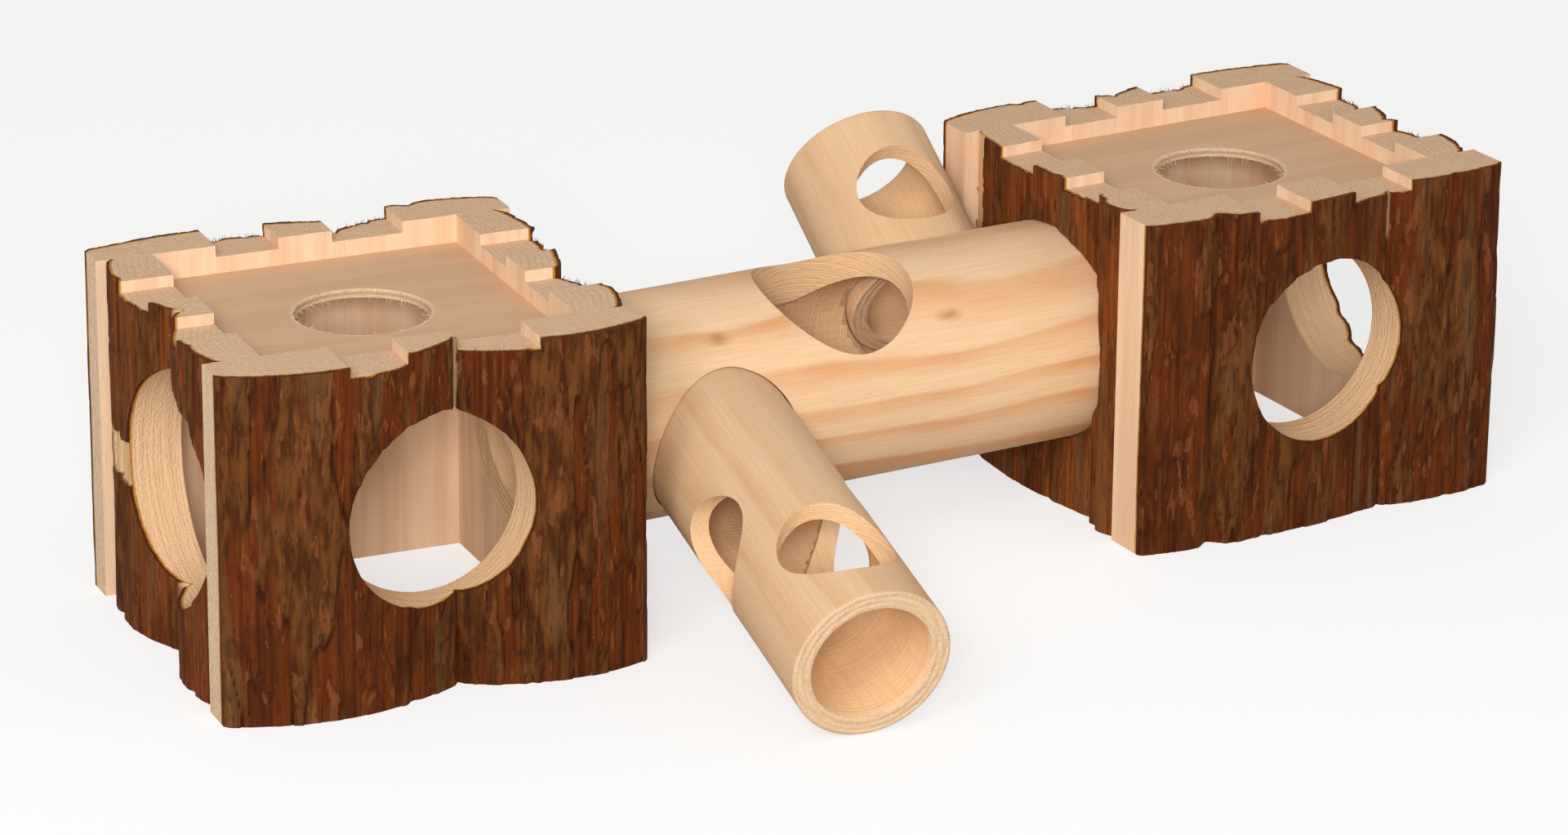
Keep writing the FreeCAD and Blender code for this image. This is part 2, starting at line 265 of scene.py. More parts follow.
def remove_objects(pieces):
    for piece in pieces:
        mesh = piece.data
        bpy.data.objects.remove(piece)
        bpy.data.meshes.remove(mesh)


unit = np.array([0.0, 1.0])
all_sides = dict.fromkeys(("u0", "u1", "v0", "v1", "w0", "w1"), 0)
block = closed_block(unit, unit, unit, lambda *place: place, all_sides)
print("a unit block closes with", len(block[0]), "points and", len(block[1]), "faces")

# %% [markdown]
# Each wall is two slabs sawn from the outside of a log, edge to edge, so each slab keeps the
# log's curve and its bark. The table gives each wall's seam, how far its two slabs swell out, and
# how far they fall back at the seam. Some walls have marks of their own: a groove in the bark, a
# knot, or a place where the bark has torn off and the wood shows.
# %% The walls' own shapes and marks
WALLS = {
    "left_front": {"seam": 80.0, "crowns": (8.0, 5.6), "dip": 5.0},
    "left_right": {"seam": 57.0, "crowns": (4.5, 4.0), "dip": 2.0},
    "left_back": {"seam": 58.0, "crowns": (6.0, 5.0), "dip": 2.5},
    "left_left": {"seam": 68.0, "crowns": (4.5, 4.5), "dip": 4.5},
    "right_front": {"seam": 97.0, "crowns": (4.8, 2.8), "dip": 1.0},
    "right_right": {"seam": 60.0, "crowns": (4.5, 5.0), "dip": 2.0},
    "right_back": {"seam": 75.0, "crowns": (5.0, 6.0), "dip": 2.5},
    "right_left": {"seam": 93.0, "crowns": (3.0, 4.0), "dip": 1.0},
}
# Grooves run up the bark: where along the wall, how deep and how wide.
GROOVES = {
    "left_front": [(62.0, 1.2, 2.0), (101.0, 0.8, 1.5)],
    "left_left": [(30.0, 1.5, 2.5), (100.0, 1.2, 2.0)],
    "right_front": [(28.0, 4.4, 4.2), (46.0, 0.8, 1.6), (122.0, 1.0, 1.6)],
    "right_left": [(70.0, 1.0, 2.0), (99.0, 1.6, 2.0)],
    "right_right": [(84.0, 1.5, 2.5)],
    "left_back": [(30.0, 2.0, 2.5), (98.0, 1.5, 2.0)],
    "right_back": [(44.0, 2.2, 2.5), (110.0, 1.6, 2.0)],
    "left_right": [(36.0, 1.2, 2.0)],
}
# Knots under the bark: along the wall, height and radius.
KNOTS = {
    "right_front": [(35.0, 99.0, 8.0)],
    "left_back": [(96.0, 40.0, 8.0)],
    "right_right": [(92.0, 34.0, 7.0)],
}
# Places with no bark: lowest and highest along the wall, then lowest and highest height.
BARE_PLACES = {
    "left_left": [(21.0, 60.0, 49.0, 63.0), (66.2, 69.0, 84.0, 125.0), (66.4, 69.4, -9.0, 24.0)],
    "left_front": [(79.4, 80.7, 90.0, 125.0)],
    "right_front": [(96.2, 97.6, 96.0, 125.0)],
    "right_left": [(15.0, 23.0, 60.0, 125.0)],
}
# How flaky the bark is: 1 is all plates and cracks, 0 is smooth inner bark.
FLAKINESS = {"left_front": 1.0, "right_front": 0.8, "right_left": 0.35, "left_left": 0.55}
# How far a wall's bark leans to a lighter orange brown.
TONES = {"right_left": 0.75, "left_left": 0.4, "right_back": 0.3, "left_right": 0.3}


def board_facts(tower, side, order):
    """The slab's ends along the wall, its inner face, and the arc of its bark side."""
    wall = tower + "_" + side
    facing = side in ("front", "back")
    length = TOWER_WIDTH if facing else TOWER_DEPTH
    face = 0.0 if facing else SIDE_RECESS
    thickness = FACE_THICKNESS[wall] if facing else SIDE_THICKNESS
    low, high = 0.0, length
    if not facing:
        first, last = ("front", "back") if side == "right" else ("back", "front")
        low, high = FACE_THICKNESS[tower + "_" + first], length - FACE_THICKNESS[tower + "_" + last]
    shape = WALLS[wall]
    if order == "one":
        begin, finish, crown = low, shape["seam"], shape["crowns"][0]
        ends = (face, face + shape["dip"])
    else:
        begin, finish, crown = shape["seam"], high, shape["crowns"][1]
        ends = (face + shape["dip"], face)
    arc = circle_through((begin, ends[0]), ((begin + finish) / 2, face - crown), (finish, ends[1]))
    return {"wall": wall, "length": length, "begin": begin, "finish": finish, "inner": face + thickness,
            "face": face, "arc": arc, "seed": 40 * sorted(WALLS).index(wall) + (20 if order == "two" else 0)}


def circle_through(first, second, third):
    """Centre and radius of the circle through three points."""
    first, second, third = (np.array(point) for point in (first, second, third))
    squares = [point @ point - first @ first for point in (second, third)]
    centre = np.linalg.solve([second - first, third - first], np.array(squares) / 2)
    return centre[0], centre[1], math.dist(centre, first)


def arc_depth(facts, along):
    """How far into the wall the slab's arc lies, at a place along the wall."""
    centre_x, centre_y, radius = facts["arc"]
    across = np.clip(along - centre_x, -radius * 0.999, radius * 0.999)
    return centre_y - np.sqrt(radius ** 2 - across ** 2)

# %% [markdown]
# Bark could be a bump map, but its plates stand a millimetre proud and break the outline, so it
# is real relief. One function works out the wood's surface under the bark, and another the
# bark's thickness on it: flat plates with steep edges, cracks along those edges, fine fibres and
# thin scales. Both are kept as numbers on the mesh, so the colours follow the shape.
# %% Bark relief
BARK_THICKNESS = 1.3


def bare_mask(facts, along, height):
    """1 where the bark has torn off, with ragged borders, and 0 elsewhere."""
    mask = np.zeros_like(along)
    for low, high, bottom, top in BARE_PLACES.get(facts["wall"], []):
        ragged = 0.8 * fractal(along / 1.6, height / 2.5, 7) + 0.5 * fractal(along / 5, height / 9, 8)
        ragged = ragged * min(1.0, (high - low) / 6)
        inside = np.minimum.reduce([along - low, high - along, height - bottom, top - height]) + ragged
        mask = np.maximum(mask, ramped(inside, 0.0, 0.35))
    return mask


def wood_surface(facts, along, height):
    """Where the wood under the bark begins, measured into the wall."""
    seed = facts["seed"]
    surface = arc_depth(facts, along) + BARK_THICKNESS
    surface = surface + 0.7 * fractal(along / 26, height / 55, seed, 2)
    for knot_at, knot_height, radius in KNOTS.get(facts["wall"], []):
        distance = np.hypot(along - knot_at, (height - knot_height) * 0.8)
        surface = surface - 1.6 * np.exp(-(distance / radius) ** 2)
        surface = surface + 1.8 * np.exp(-(distance / (radius * 0.35)) ** 2)
    for groove_at, depth, width in GROOVES.get(facts["wall"], []):
        wander = groove_at + 1.4 * smooth_noise(height / 26, height * 0 + groove_at, seed + 3)
        surface = surface + depth * np.exp(-((along - wander) / width) ** 2)
    nearest_edge = np.minimum(along - facts["begin"], facts["finish"] - along)
    return surface + 1.1 * (1 - ramped(nearest_edge, 0.0, 2.4)) ** 2


def bark_fields(facts, along, height):
    """How raised, cracked and bare the bark is, each from 0 to 1, and its thickness."""
    seed = facts["seed"]
    flakiness = FLAKINESS.get(facts["wall"], 0.8)
    warp = 3.5 * fractal(along / 15, height / 42, seed + 5)
    for knot_at, knot_height, radius in KNOTS.get(facts["wall"], []):
        distance = np.hypot(along - knot_at, height - knot_height)
        warp = warp + 5 * np.exp(-(distance / (radius * 1.3)) ** 2) * np.sign(along - knot_at)
    grain = along + warp
    broad = fractal(grain / 7.5, height / 62, seed + 6)
    small = fractal(grain / 3.6, height / 26, seed + 9, 2)
    level = 0.34 - 0.3 * flakiness
    plate = ramped(broad, level, level + 0.09)
    scale = ramped(small, 0.16, 0.26) * (0.35 + 0.65 * flakiness)
    broken = ramped(fractal(along / 4, height / 12, seed + 12), -0.3, 0.3)
    plate_edge = np.exp(-((broad - level - 0.01) / 0.045) ** 2) * broken
    scale_edge = np.exp(-((small - 0.16) / 0.05) ** 2) * 0.6
    crack = np.clip(np.maximum(plate_edge, scale_edge) * (0.4 + 0.6 * flakiness), 0, 1)
    fibre = fractal(grain / 2.6, height / 30, seed + 15, 2)
    bare = bare_mask(facts, along, height)
    thickness = BARK_THICKNESS - 0.25 + 0.5 * plate * flakiness + 0.22 * scale + 0.15 * fibre - 0.45 * crack
    return plate, crack, bare, np.maximum(thickness * (1 - bare), 0.02)


print("bark on walls:", ", ".join(sorted(WALLS)))

# %% [markdown]
# Materials are built from nodes by small helpers, so each recipe reads as a list of what the eye
# sees. Every piece carries a grain coordinate in millimetres: across, into and along the grain.
# A pattern written on it runs up a standing board and along a lying log, and it never slides.
# %% Shader helpers
def colour(red, green, blue):
    """A screen colour, 0 to 255, as the linear colour that a shader wants."""
    return tuple(((c / 255 + 0.055) / 1.055) ** 2.4 for c in (red, green, blue)) + (1.0,)


def add_node(tree, kind, inputs=(), **settings):
    """A node with its settings and its inputs, linked or set. A short kind is a shader node."""
    node = tree.nodes.new(kind if "Node" in kind else "ShaderNode" + kind)
    for name, value in settings.items():
        setattr(node, name, value)
    for key, value in dict(inputs).items():
        if isinstance(value, bpy.types.NodeSocket):
            tree.links.new(value, node.inputs[key])
        else:
            node.inputs[key].default_value = value
    return node


class Look:
    """A material under way. Each method adds a node and gives that node's output."""

    def __init__(self, name):
        self.material = bpy.data.materials.new(name)
        self.material.use_nodes = True
        self.tree = self.material.node_tree
        self.tree.nodes.clear()

    def node(self, kind, inputs=(), output=0, **settings):
        return add_node(self.tree, kind, inputs, **settings).outputs[output]

    def on_mesh(self, name, output="Fac"):
        """A number, or with the output Vector a vector, that is kept on the mesh."""
        return self.node("Attribute", (), output, attribute_name=name)

    def math(self, operation, first, second=0.0, third=0.0):
        return self.node("Math", {0: first, 1: second, 2: third}, operation=operation)

    def times(self, first, second):
        return self.math("MULTIPLY", first, second)

    def vector(self, operation, *values):
        output = "Value" if operation == "LENGTH" else "Vector"
        return self.node("VectorMath", dict(enumerate(values)), output, operation=operation)

    def noise_at(self, place, detail, output="Fac", scale=1.0):
        return self.node("TexNoise", {"Vector": place, "Scale": scale, "Detail": detail}, output)

    def noise(self, across, along, detail=3.0, shift=0.0, into=None):
        """Noise from 0 to 1 whose blots are so many millimetres across and along the grain."""
        sizes = (1 / across, 1 / (into or across), 1 / along)
        grain = self.on_mesh("grain", "Vector")
        return self.noise_at(self.vector("MULTIPLY_ADD", grain, sizes, (shift,) * 3), detail)

    def step(self, value, low, high, bottom=0.0, top=1.0):
        ranges = {"Value": value, "From Min": low, "From Max": high, "To Min": bottom, "To Max": top}
        return self.node("MapRange", ranges, "Result", interpolation_type="SMOOTHSTEP")

    def patches(self, low, high, *noise, **options):
        """0 where the noise is under low and 1 where it is over high."""
        return self.step(self.noise(*noise, **options), low, high)

    def mix(self, share, first, second):
        """The first colour where share is 0 and the second where it is 1."""
        return self.node("Mix", {"Factor": share, 6: first, 7: second}, 2, data_type="RGBA")

    def over(self, base, share, strength, tint):
        """The base with a tint laid over it where share says, at most at this strength."""
        return self.mix(self.times(share, strength), base, colour(*tint))

    def finish(self, base, roughness, height, depth, specular=0.18):
        """The material, with this colour and roughness and a bump some millimetres deep."""
        bump = self.node("Bump", {"Height": height, "Strength": 1.0, "Distance": depth * MM})
        surface = self.node("BsdfPrincipled", {"Base Color": base, "Roughness": roughness,
                                               "Specular IOR Level": specular, "Normal": bump})
        add_node(self.tree, "OutputMaterial", {"Surface": surface})
        return self.material


print("a bark brown, as a shader wants it:", np.round(colour(108, 51, 14)[:3], 3))

# %% [markdown]
# The bark is a red-brown inner bark with greyer, rougher plates still on it. Thin vertical
# streaks carry most of its look; pinkish scars, dark cracks and a dusting of pale flecks, partly
# painted highlights, do the rest. Where the bark has torn off, the same material shows the bare wood.
# %% Bark
def streaky_wood(look, pale, warm, streak_across=1.6, streak_along=60.0):
    """Sawn pine seen along its grain: pale wood with warm streaks and a few brown hairlines."""
    broad = look.patches(0.38, 0.66, 7.0, 110.0, 2.0, 3.1)
    fine = look.patches(0.35, 0.7, streak_across, streak_along, 3.0, 8.7)
    share = look.math("MULTIPLY_ADD", fine, 0.2, look.times(broad, 0.55))
    wood = look.mix(share, colour(*pale), colour(*warm))
    return look.over(wood, look.patches(0.66, 0.78, 0.45, 30.0, 2.0, 15.3), 0.35, (150, 104, 66))


def bark_material():
    look = Look("bark")
    streak = look.patches(0.28, 0.74, 1.4, 46.0, 5.0)
    base = look.mix(streak, colour(62, 25, 5), colour(108, 51, 14))
    base = look.over(base, look.patches(0.4, 0.62, 9.0, 60.0, 3.0, 5.0), 0.6, (98, 44, 10))
    orange = look.mix(streak, colour(112, 56, 18), colour(158, 92, 40))
    base = look.mix(look.times(look.on_mesh("tone"), 0.75), base, orange)
    base = look.over(base, look.patches(0.5, 0.62, 7.0, 26.0, 5.0, 71.0), 0.5, (54, 23, 6))
    mottle = look.patches(0.34, 0.68, 2.2, 11.0, 5.0, 9.0)
    grey_plate = look.mix(mottle, colour(58, 30, 9), colour(108, 66, 30))
    base = look.mix(look.times(look.on_mesh("plate"), 0.7), base, grey_plate)
    lichen = look.patches(0.57, 0.65, 8.0, 85.0, 4.0, 41.0)
    base = look.over(base, lichen, 0.38, (108, 80, 50))
    scar = look.patches(0.6, 0.63, 3.8, 13.0, 4.0, 21.0)
    base = look.over(base, scar, 0.48, (132, 76, 42))
    pit = look.patches(0.62, 0.74, 1.0, 6.0, 4.0, 52.0)
    base = look.over(base, pit, 0.6, (36, 15, 4))
    base = look.over(base, look.on_mesh("crack"), 0.75, (30, 12, 4))
    # Pale flecks, partly real pale specks in the bark and partly painted highlights: tiny glints laid into
    # the colour.
    pale_fleck_and_highlight = look.patches(0.67, 0.75, 0.5, 7.0, 4.0, 33.0)
    base = look.over(base, pale_fleck_and_highlight, 0.4, (182, 126, 78))
    bare_wood = streaky_wood(look, (226, 190, 148), (205, 158, 108))
    base = look.mix(look.on_mesh("bare"), base, bare_wood)
    relief = look.math("ADD", look.noise(0.9, 7.0, 4.0, 2.0), look.times(mottle, 0.35))
    relief = look.math("MULTIPLY_ADD", look.noise(1.3, 2.4, 5.0, 62.0), 0.8, relief)
    relief = look.math("MULTIPLY_ADD", scar, 0.35, look.math("MULTIPLY_ADD", pit, -0.5, relief))
    return look.finish(base, look.step(streak, 0.0, 1.0, 0.85, 0.7), relief, 0.36, 0.1)

# %% [markdown]
# Wherever a slab is cut, a thin brown edge of bark shows, then a golden line of inner bark, and
# then the wood. The depth under the bark is kept on the mesh, so one small recipe draws that
# edge on saw cuts, castle tops and bores alike, and growth rings can follow the same depth.
# %% Cut wood of the slabs
def with_bark_rim(look, wood):
    """The wood of a cut, with a brown edge and a golden line where the bark was cut through."""
    depth = look.math("ADD", look.on_mesh("depth"), 0.45)
    edge = look.math("MULTIPLY_ADD", look.noise(2.0, 6.0, 3.0, 12.0), -0.9, depth)
    golden = look.mix(look.step(edge, 0.45, 1.05), colour(184, 124, 38), wood)
    return look.mix(look.step(edge, -0.12, 0.12), colour(78, 35, 13), golden)


def end_grain_material():
    """Castle tops: sawn across the grain, greyish, speckled, with faint rings."""
    look = Look("slab_end_grain")
    speckle = look.patches(0.3, 0.7, 0.6, 0.6, 4.0)
    wood = look.mix(speckle, colour(206, 168, 134), colour(232, 199, 166))
    wood = look.over(wood, look.patches(0.35, 0.65, 9.0, 9.0, 3.0, 4.0), 0.4, (226, 190, 152))
    wobble = look.times(look.noise(12.0, 12.0, 2.0, 7.0), 1.3)
    ring = look.math("FRACT", look.math("MULTIPLY_ADD", look.on_mesh("depth"), 0.42, wobble))
    wood = look.over(wood, look.step(ring, 0.45, 0.95), 0.28, (188, 146, 104))
    saw = look.times(look.noise(7.0, 7.0, 3.0, 6.0, into=1.1), 0.5)
    return look.finish(with_bark_rim(look, wood), 0.85, look.math("ADD", speckle, saw), 0.1)


def flat_grain_material():
    """Inner faces, edges and castle risers: sawn along the grain."""
    look = Look("slab_flat_grain")
    wood = streaky_wood(look, (242, 208, 174), (224, 182, 144))
    wood = look.over(wood, look.patches(0.45, 0.75, 0.5, 0.9, 3.0, 6.0), 0.25, (240, 218, 190))
    return look.finish(with_bark_rim(look, wood), 0.82, look.noise(0.5, 5.0, 4.0, 5.0), 0.16)


def rough_edge_material():
    """The left tower's upright edges, sawn more roughly: whitish torn fibres and darker dots."""
    look = Look("slab_rough_edge")
    fibrous = look.patches(0.36, 0.66, 0.6, 1.5, 5.0, 27.0)
    torn = look.mix(fibrous, colour(196, 164, 130), colour(234, 212, 184))
    wood = look.mix(0.55, streaky_wood(look, (232, 202, 168), (216, 180, 142)), torn)
    relief = look.math("ADD", fibrous, look.noise(0.5, 5.0, 4.0, 5.0))
    return look.finish(with_bark_rim(look, wood), 0.88, relief, 0.16)


def bored_material():
    """Round bores through the slabs: the cutter leaves fine rings across the thickness."""
    look = Look("slab_bore")
    rings = look.patches(0.25, 0.75, 30.0, 30.0, 4.0, 11.0, into=1.0)
    torn = look.patches(0.35, 0.7, 0.7, 1.4, 4.0, 13.0)
    wood = look.mix(rings, colour(220, 174, 128), colour(238, 200, 158))
    wood = look.over(wood, torn, 0.4, (238, 210, 176))
    relief = look.math("ADD", rings, look.times(torn, 0.7))
    return look.finish(with_bark_rim(look, wood), 0.78, relief, 0.2)


BARK, END_GRAIN, FLAT_GRAIN, BORED, ROUGH_EDGE = range(5)
slab_materials = [bark_material(), end_grain_material(), flat_grain_material(), bored_material(),
                  rough_edge_material()]
print("slab materials:", [material.name for material in slab_materials])

# %% [markdown]
# A slab starts as a closed block with its bark side shaped by the relief, and is then cut as the
# real one is: castle gaps by saw, round holes by a bore. The cutting tools are meshes too, dense
# and slightly uneven, so that saw marks and chipped bark edges come from the cut itself.
# %% Slabs with bark, and their cutters
BARK_STEP = 0.62
BOARD_PLAY = 0.04
END_SHARES = np.array([0, 0.04, 0.08, 0.12, 0.17, 0.24, 0.34, 0.5, 0.7, 0.86, 1.0])


def bark_surface(facts, along, height):
    """The outer face of the bark, measured into the wall."""
    thickness = bark_fields(facts, along, height)[3]
    return wood_surface(facts, along, height) - thickness


def slab_block(facts):
    """The slab before its cuts: bark outside, sawn on its other five sides."""
    begin, finish, inner = facts["begin"] + BOARD_PLAY, facts["finish"] - BOARD_PLAY, facts["inner"]

    def shape(along, share, height):
        depth = bark_surface(facts, along, height)
        depth = depth + (inner - depth) * share
        at_top = height > TOWER_HEIGHT - 0.01
        sawn = 0.16 + 0.14 * fractal(along / 1.7, depth / 1.3, facts["seed"] + 30)
        height = np.where(at_top, height - np.maximum(sawn, 0.0), height)
        return along, depth, height

    alongs = np.linspace(begin, finish, max(int((finish - begin) / BARK_STEP), 8))
    heights = np.linspace(0.0, TOWER_HEIGHT, int(TOWER_HEIGHT / BARK_STEP))
    upright = ROUGH_EDGE if facts["wall"] in ("left_front", "left_back") else FLAT_GRAIN
    slots = {"v0": BARK, "v1": FLAT_GRAIN, "u0": upright, "u1": upright, "w0": END_GRAIN, "w1": END_GRAIN}
    return closed_block(alongs, END_SHARES, heights, shape, slots, flat=("v1",))


def crenel_spans(side, length):
    """The two gaps of a castle top, from the wall's left end seen from outside."""
    first, merlon, second = CRENELS["face" if side in ("front", "back") else "side"]
    if side in ("back", "left"):
        first, second = second, first
    middle = length / 2
    low, high = middle - merlon / 2, middle + merlon / 2
    return [(low - first, low), (high, high + second)]


def crenel_cutter(facts, low, high):
    """A saw cut from above. Near the bark its floor drops a little where the bark has chipped."""
    floor = TOWER_HEIGHT - CRENEL_DEPTH

    def shape(along, depth, height):
        on_floor = height < floor + 0.01
        chip = np.maximum(fractal(along / 3.2, facts["seed"] + 0 * along, 61), 0) * 1.2
        under_bark = depth - arc_depth(facts, along) - BARK_THICKNESS
        drop = chip * (1 - ramped(under_bark, -0.4, 1.4))
        rough = 0.13 * fractal(along / 1.4, depth / 1.8, facts["seed"] + 33)
        height = np.where(on_floor, height - drop + rough, height)
        lean = 0.18 * fractal(depth / 2.0, height / 1.5, facts["seed"] + 35)
        along = along + np.where((along < low + 0.01) | (along > high - 0.01), lean, 0)
        return along, depth, height

    face = facts["face"]
    near_bark = np.arange(face - 9, face + 9, 0.7)
    depths = np.concatenate([[face - 20], near_bark, [face + 12, face + 16, face + 30]])
    alongs = np.linspace(low, high, int((high - low) / 0.8))
    heights = np.concatenate([np.arange(floor, TOWER_HEIGHT, 0.8), [TOWER_HEIGHT + 6.0]])
    slots = {"w0": END_GRAIN, "u0": FLAT_GRAIN, "u1": FLAT_GRAIN}
    slots.update(dict.fromkeys(("v0", "v1", "w1"), END_GRAIN))
    points, faces, face_slots = closed_block(alongs, depths, heights, shape, slots, flat=("w1", "v0", "v1"))
    return mesh_object("crenel_cutter", points, faces, face_slots, slab_materials)


def bore_rings(radius, stations, shape, slot, turns=168):
    """A closed round cutter: rings of points at stations along its axis, and a flat cap each end."""
    angles = np.linspace(0, 2 * math.pi, turns, endpoint=False)
    angle, station = np.meshgrid(angles, stations, indexing="ij")
    points = np.stack(shape(angle.ravel(), station.ravel(), radius), axis=1)
    rows = len(stations)
    faces = []
    for turn in range(turns):
        here, there = turn * rows, ((turn + 1) % turns) * rows
        faces += [(here + k, there + k, there + k + 1, here + k + 1) for k in range(rows - 1)]
    faces.append(tuple(turn * rows for turn in reversed(range(turns))))
    faces.append(tuple(turn * rows + rows - 1 for turn in range(turns)))
    return points, faces, [slot] * len(faces)


def hole_facts(tower, side):
    """Where a wall's round hole is along it, its height, radius and the turn of its axis."""
    if side == "back":
        return None
    if side == "front":
        return TOWER_WIDTH / 2, ENTRANCE_HEIGHT, ENTRANCE_RADIUS, 0.0
    radius = TUNNEL_RADIUS + PLUG_CLEARANCE
    along, turn = TOWER_DEPTH / 2, 0.0
    if tower == "left":
        turn = LEFT_TOWER_TURN
        if side == "left":
            along = TOWER_DEPTH - FACE_THICKNESS["left_front"] - PORT_WEB - radius
    return along, TUNNEL_HEIGHT, radius, turn


def bore_cutter(facts, hole):
    """A bore through the wall, with fine rings and bark chipped away around its mouth."""
    hole_at, hole_height, radius, turn = hole

    def shape(angle, station, radius):
        skew = station * math.tan(math.radians(turn))
        along = hole_at - skew + radius * np.cos(angle)
        height = hole_height - radius * np.sin(angle)
        under_bark = station - arc_depth(facts, along) - BARK_THICKNESS
        chip = np.maximum(fractal(angle * 18, 0 * angle + hole_height, 71) - 0.15, 0) * 0.6
        ring_mark = 0.07 * fractal(station / 0.8, angle * 2, 73)
        grown = radius + ring_mark + chip * (1 - ramped(under_bark, -0.6, 0.9))
        return hole_at - skew + grown * np.cos(angle), station, hole_height - grown * np.sin(angle)

    face = facts["face"]
    near_bark = np.arange(face - 10, face + 9, 0.8)
    stations = np.concatenate([[face - 22], near_bark, [face + 12, face + 15, face + 28]])
    points, faces, slots = bore_rings(radius, stations, shape, BORED)
    return mesh_object("bore_cutter", points, faces, slots, slab_materials)


def make_slab(tower, side, order):
    """One slab: shaped, cut, marked for its materials and handed over in its CAD board's place."""
    node = "%s_tower_%s_board_%s" % (tower, side, order)
    facts = board_facts(tower, side, order)
    points, faces, slots = slab_block(facts)
    slab = mesh_object(node + "_bark", points, faces, slots, slab_materials)
    cutters = []
    for low, high in crenel_spans(side, facts["length"]):
        if low < facts["finish"] and high > facts["begin"]:
            cutters.append(crenel_cutter(facts, low, high))
    hole = hole_facts(tower, side)
    if hole and hole[0] - hole[2] < facts["finish"] and hole[0] + hole[2] > facts["begin"]:
        cutters.append(bore_cutter(facts, hole))
    cut_away(slab, cutters)
    remove_objects(cutters)
    local = vertex_array(slab.data)
    along, depth, height = local.T
    for name, values in zip(("plate", "crack", "bare"), bark_fields(facts, along, height)):
        store_number(slab.data, name, values)
    store_number(slab.data, "tone", 0 * along + TONES.get(facts["wall"], 0.0))
    store_number(slab.data, "depth", depth - wood_surface(facts, along, height))
    store_vector(slab.data, "grain", local + facts["seed"] * 7.3)
    settle(slab, TOWER_PLACES[tower] @ WALL_PLACES[side])
    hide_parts(node)
    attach(slab, tower + "_tower")
    return slab


slabs = {}
for tower in ("left", "right"):
    for side in ("front", "right", "back", "left"):
        for order in ("one", "two"):
            slabs[tower, side, order] = make_slab(tower, side, order)
print("slabs:", len(slabs), "with", sum(len(slab.data.polygons) for slab in slabs.values()), "faces")

# %% [markdown]
# The log and the two branches are rings: turned round outside, bored inside, sawn off at the
# ends. Each is one closed strip swept round its axis. The strip runs along the outside, across
# one end, back through the bore and across the other end, so no separate caps are needed.
# %% Round wood: rings and drills
OUTSIDE, RING_END, INSIDE = range(3)
END_ROUGHNESS, GROOVE_PITCH = 0.3, 2.1


def ring_strip(radius, wall, start, finish, outer_step=1.3, inner_step=2.2):
    """Radius, place along the axis and slot of each row of the strip."""
    outer = np.linspace(start + 1.1, finish - 1.1, int((finish - start) / outer_step))
    inner = np.linspace(finish - 0.8, start + 0.8, int((finish - start) / inner_step))
    across = np.linspace(radius - 0.75, radius - wall + 0.5, max(int(wall / 0.45), 6))
    rows = [(radius - 0.75, start, RING_END), (radius - 0.3, start + 0.25, OUTSIDE)]
    rows += [(radius - 0.06, start + 0.6, OUTSIDE)]
    rows += [(radius, place, OUTSIDE) for place in outer]
    rows += [(radius - 0.06, finish - 0.6, OUTSIDE), (radius - 0.3, finish - 0.25, OUTSIDE)]
    rows += [(place, finish, RING_END) for place in across]
    rows += [(radius - wall, place, INSIDE) for place in inner]
    rows += [(place, start, RING_END) for place in across[::-1][:-1]]
    return rows


def ring_points(radius, wall, start, finish, turns, seed):
    """Points, faces and slots of the strip swept round, with wander, tool marks and rough ends."""
    rows = ring_strip(radius, wall, start, finish)
    angles = np.linspace(0, 2 * math.pi, turns, endpoint=False)
    away = np.array([row[0] for row in rows])
    place = np.array([row[1] for row in rows])
    slot = np.array([row[2] for row in rows])
    angle, away = np.meshgrid(angles, away, indexing="ij")
    place = np.broadcast_to(place, angle.shape)
    slots = np.broadcast_to(slot, angle.shape)
    # The noise is read on the circle itself, so it closes on itself after a full turn.
    side_x, side_y = away * np.cos(angle), away * np.sin(angle)
    wavy = 0.09 * fractal(side_x / 16 + place / 70, side_y / 16, seed)
    turned_marks = 0.035 * fractal(place / 0.9, angle * 0, seed + 4)
    outside = away - 0.1 + wavy + turned_marks
    inside = away + 0.1 + 0.08 * fractal(place / 9, side_x / 20, seed + 8)
    grooves = 0.5 + 0.5 * np.cos((radius - away) * 2 * math.pi / GROOVE_PITCH)
    torn = fractal(side_x / 1.1, side_y / 1.1, seed + 11)
    sunk = END_ROUGHNESS * (0.32 * grooves + 0.6 * np.maximum(torn, 0) + 0.12)
    inward = np.where(place > (start + finish) / 2, -sunk, sunk)
    on_end = slots == RING_END
    new_place = place + np.where(on_end, inward, 0)
    new_away = np.where(slots == INSIDE, inside, np.where(on_end, away, outside))
    points = np.stack([new_away * np.cos(angle), new_away * np.sin(angle), new_place], axis=-1).reshape(-1, 3)
    count = len(rows)
    row = np.arange(count)
    here = np.arange(turns)[:, None] * count
    there = ((np.arange(turns) + 1) % turns)[:, None] * count
    following = (row + 1) % count
    quads = np.stack([here + row, there + row, there + following, here + following], axis=-1).reshape(-1, 4)
    flat_slots = np.where((slot == RING_END) | (slot[following] == RING_END), RING_END, slot)
    return points, [tuple(quad) for quad in quads], np.tile(flat_slots, turns).tolist()


def drill(matrix, radius, first, last, materials, seed, turns=176):
    """A round cutter along the matrix's own Z axis. Its wall carries the bore's fine rings."""
    def shape(angle, station, radius):
        ring_mark = 0.06 * fractal(station / 0.9, angle * 0, seed)
        away = radius + ring_mark + 0.05 * fractal(angle * 12, station / 2, seed + 2)
        return away * np.cos(angle), away * np.sin(angle), station

    stations = np.concatenate([np.arange(first, last, 1.0), [last]])
    points, faces, slots = bore_rings(radius, stations, shape, INSIDE, turns)
    return mesh_object("drill", carried(matrix, points), faces, slots, materials)


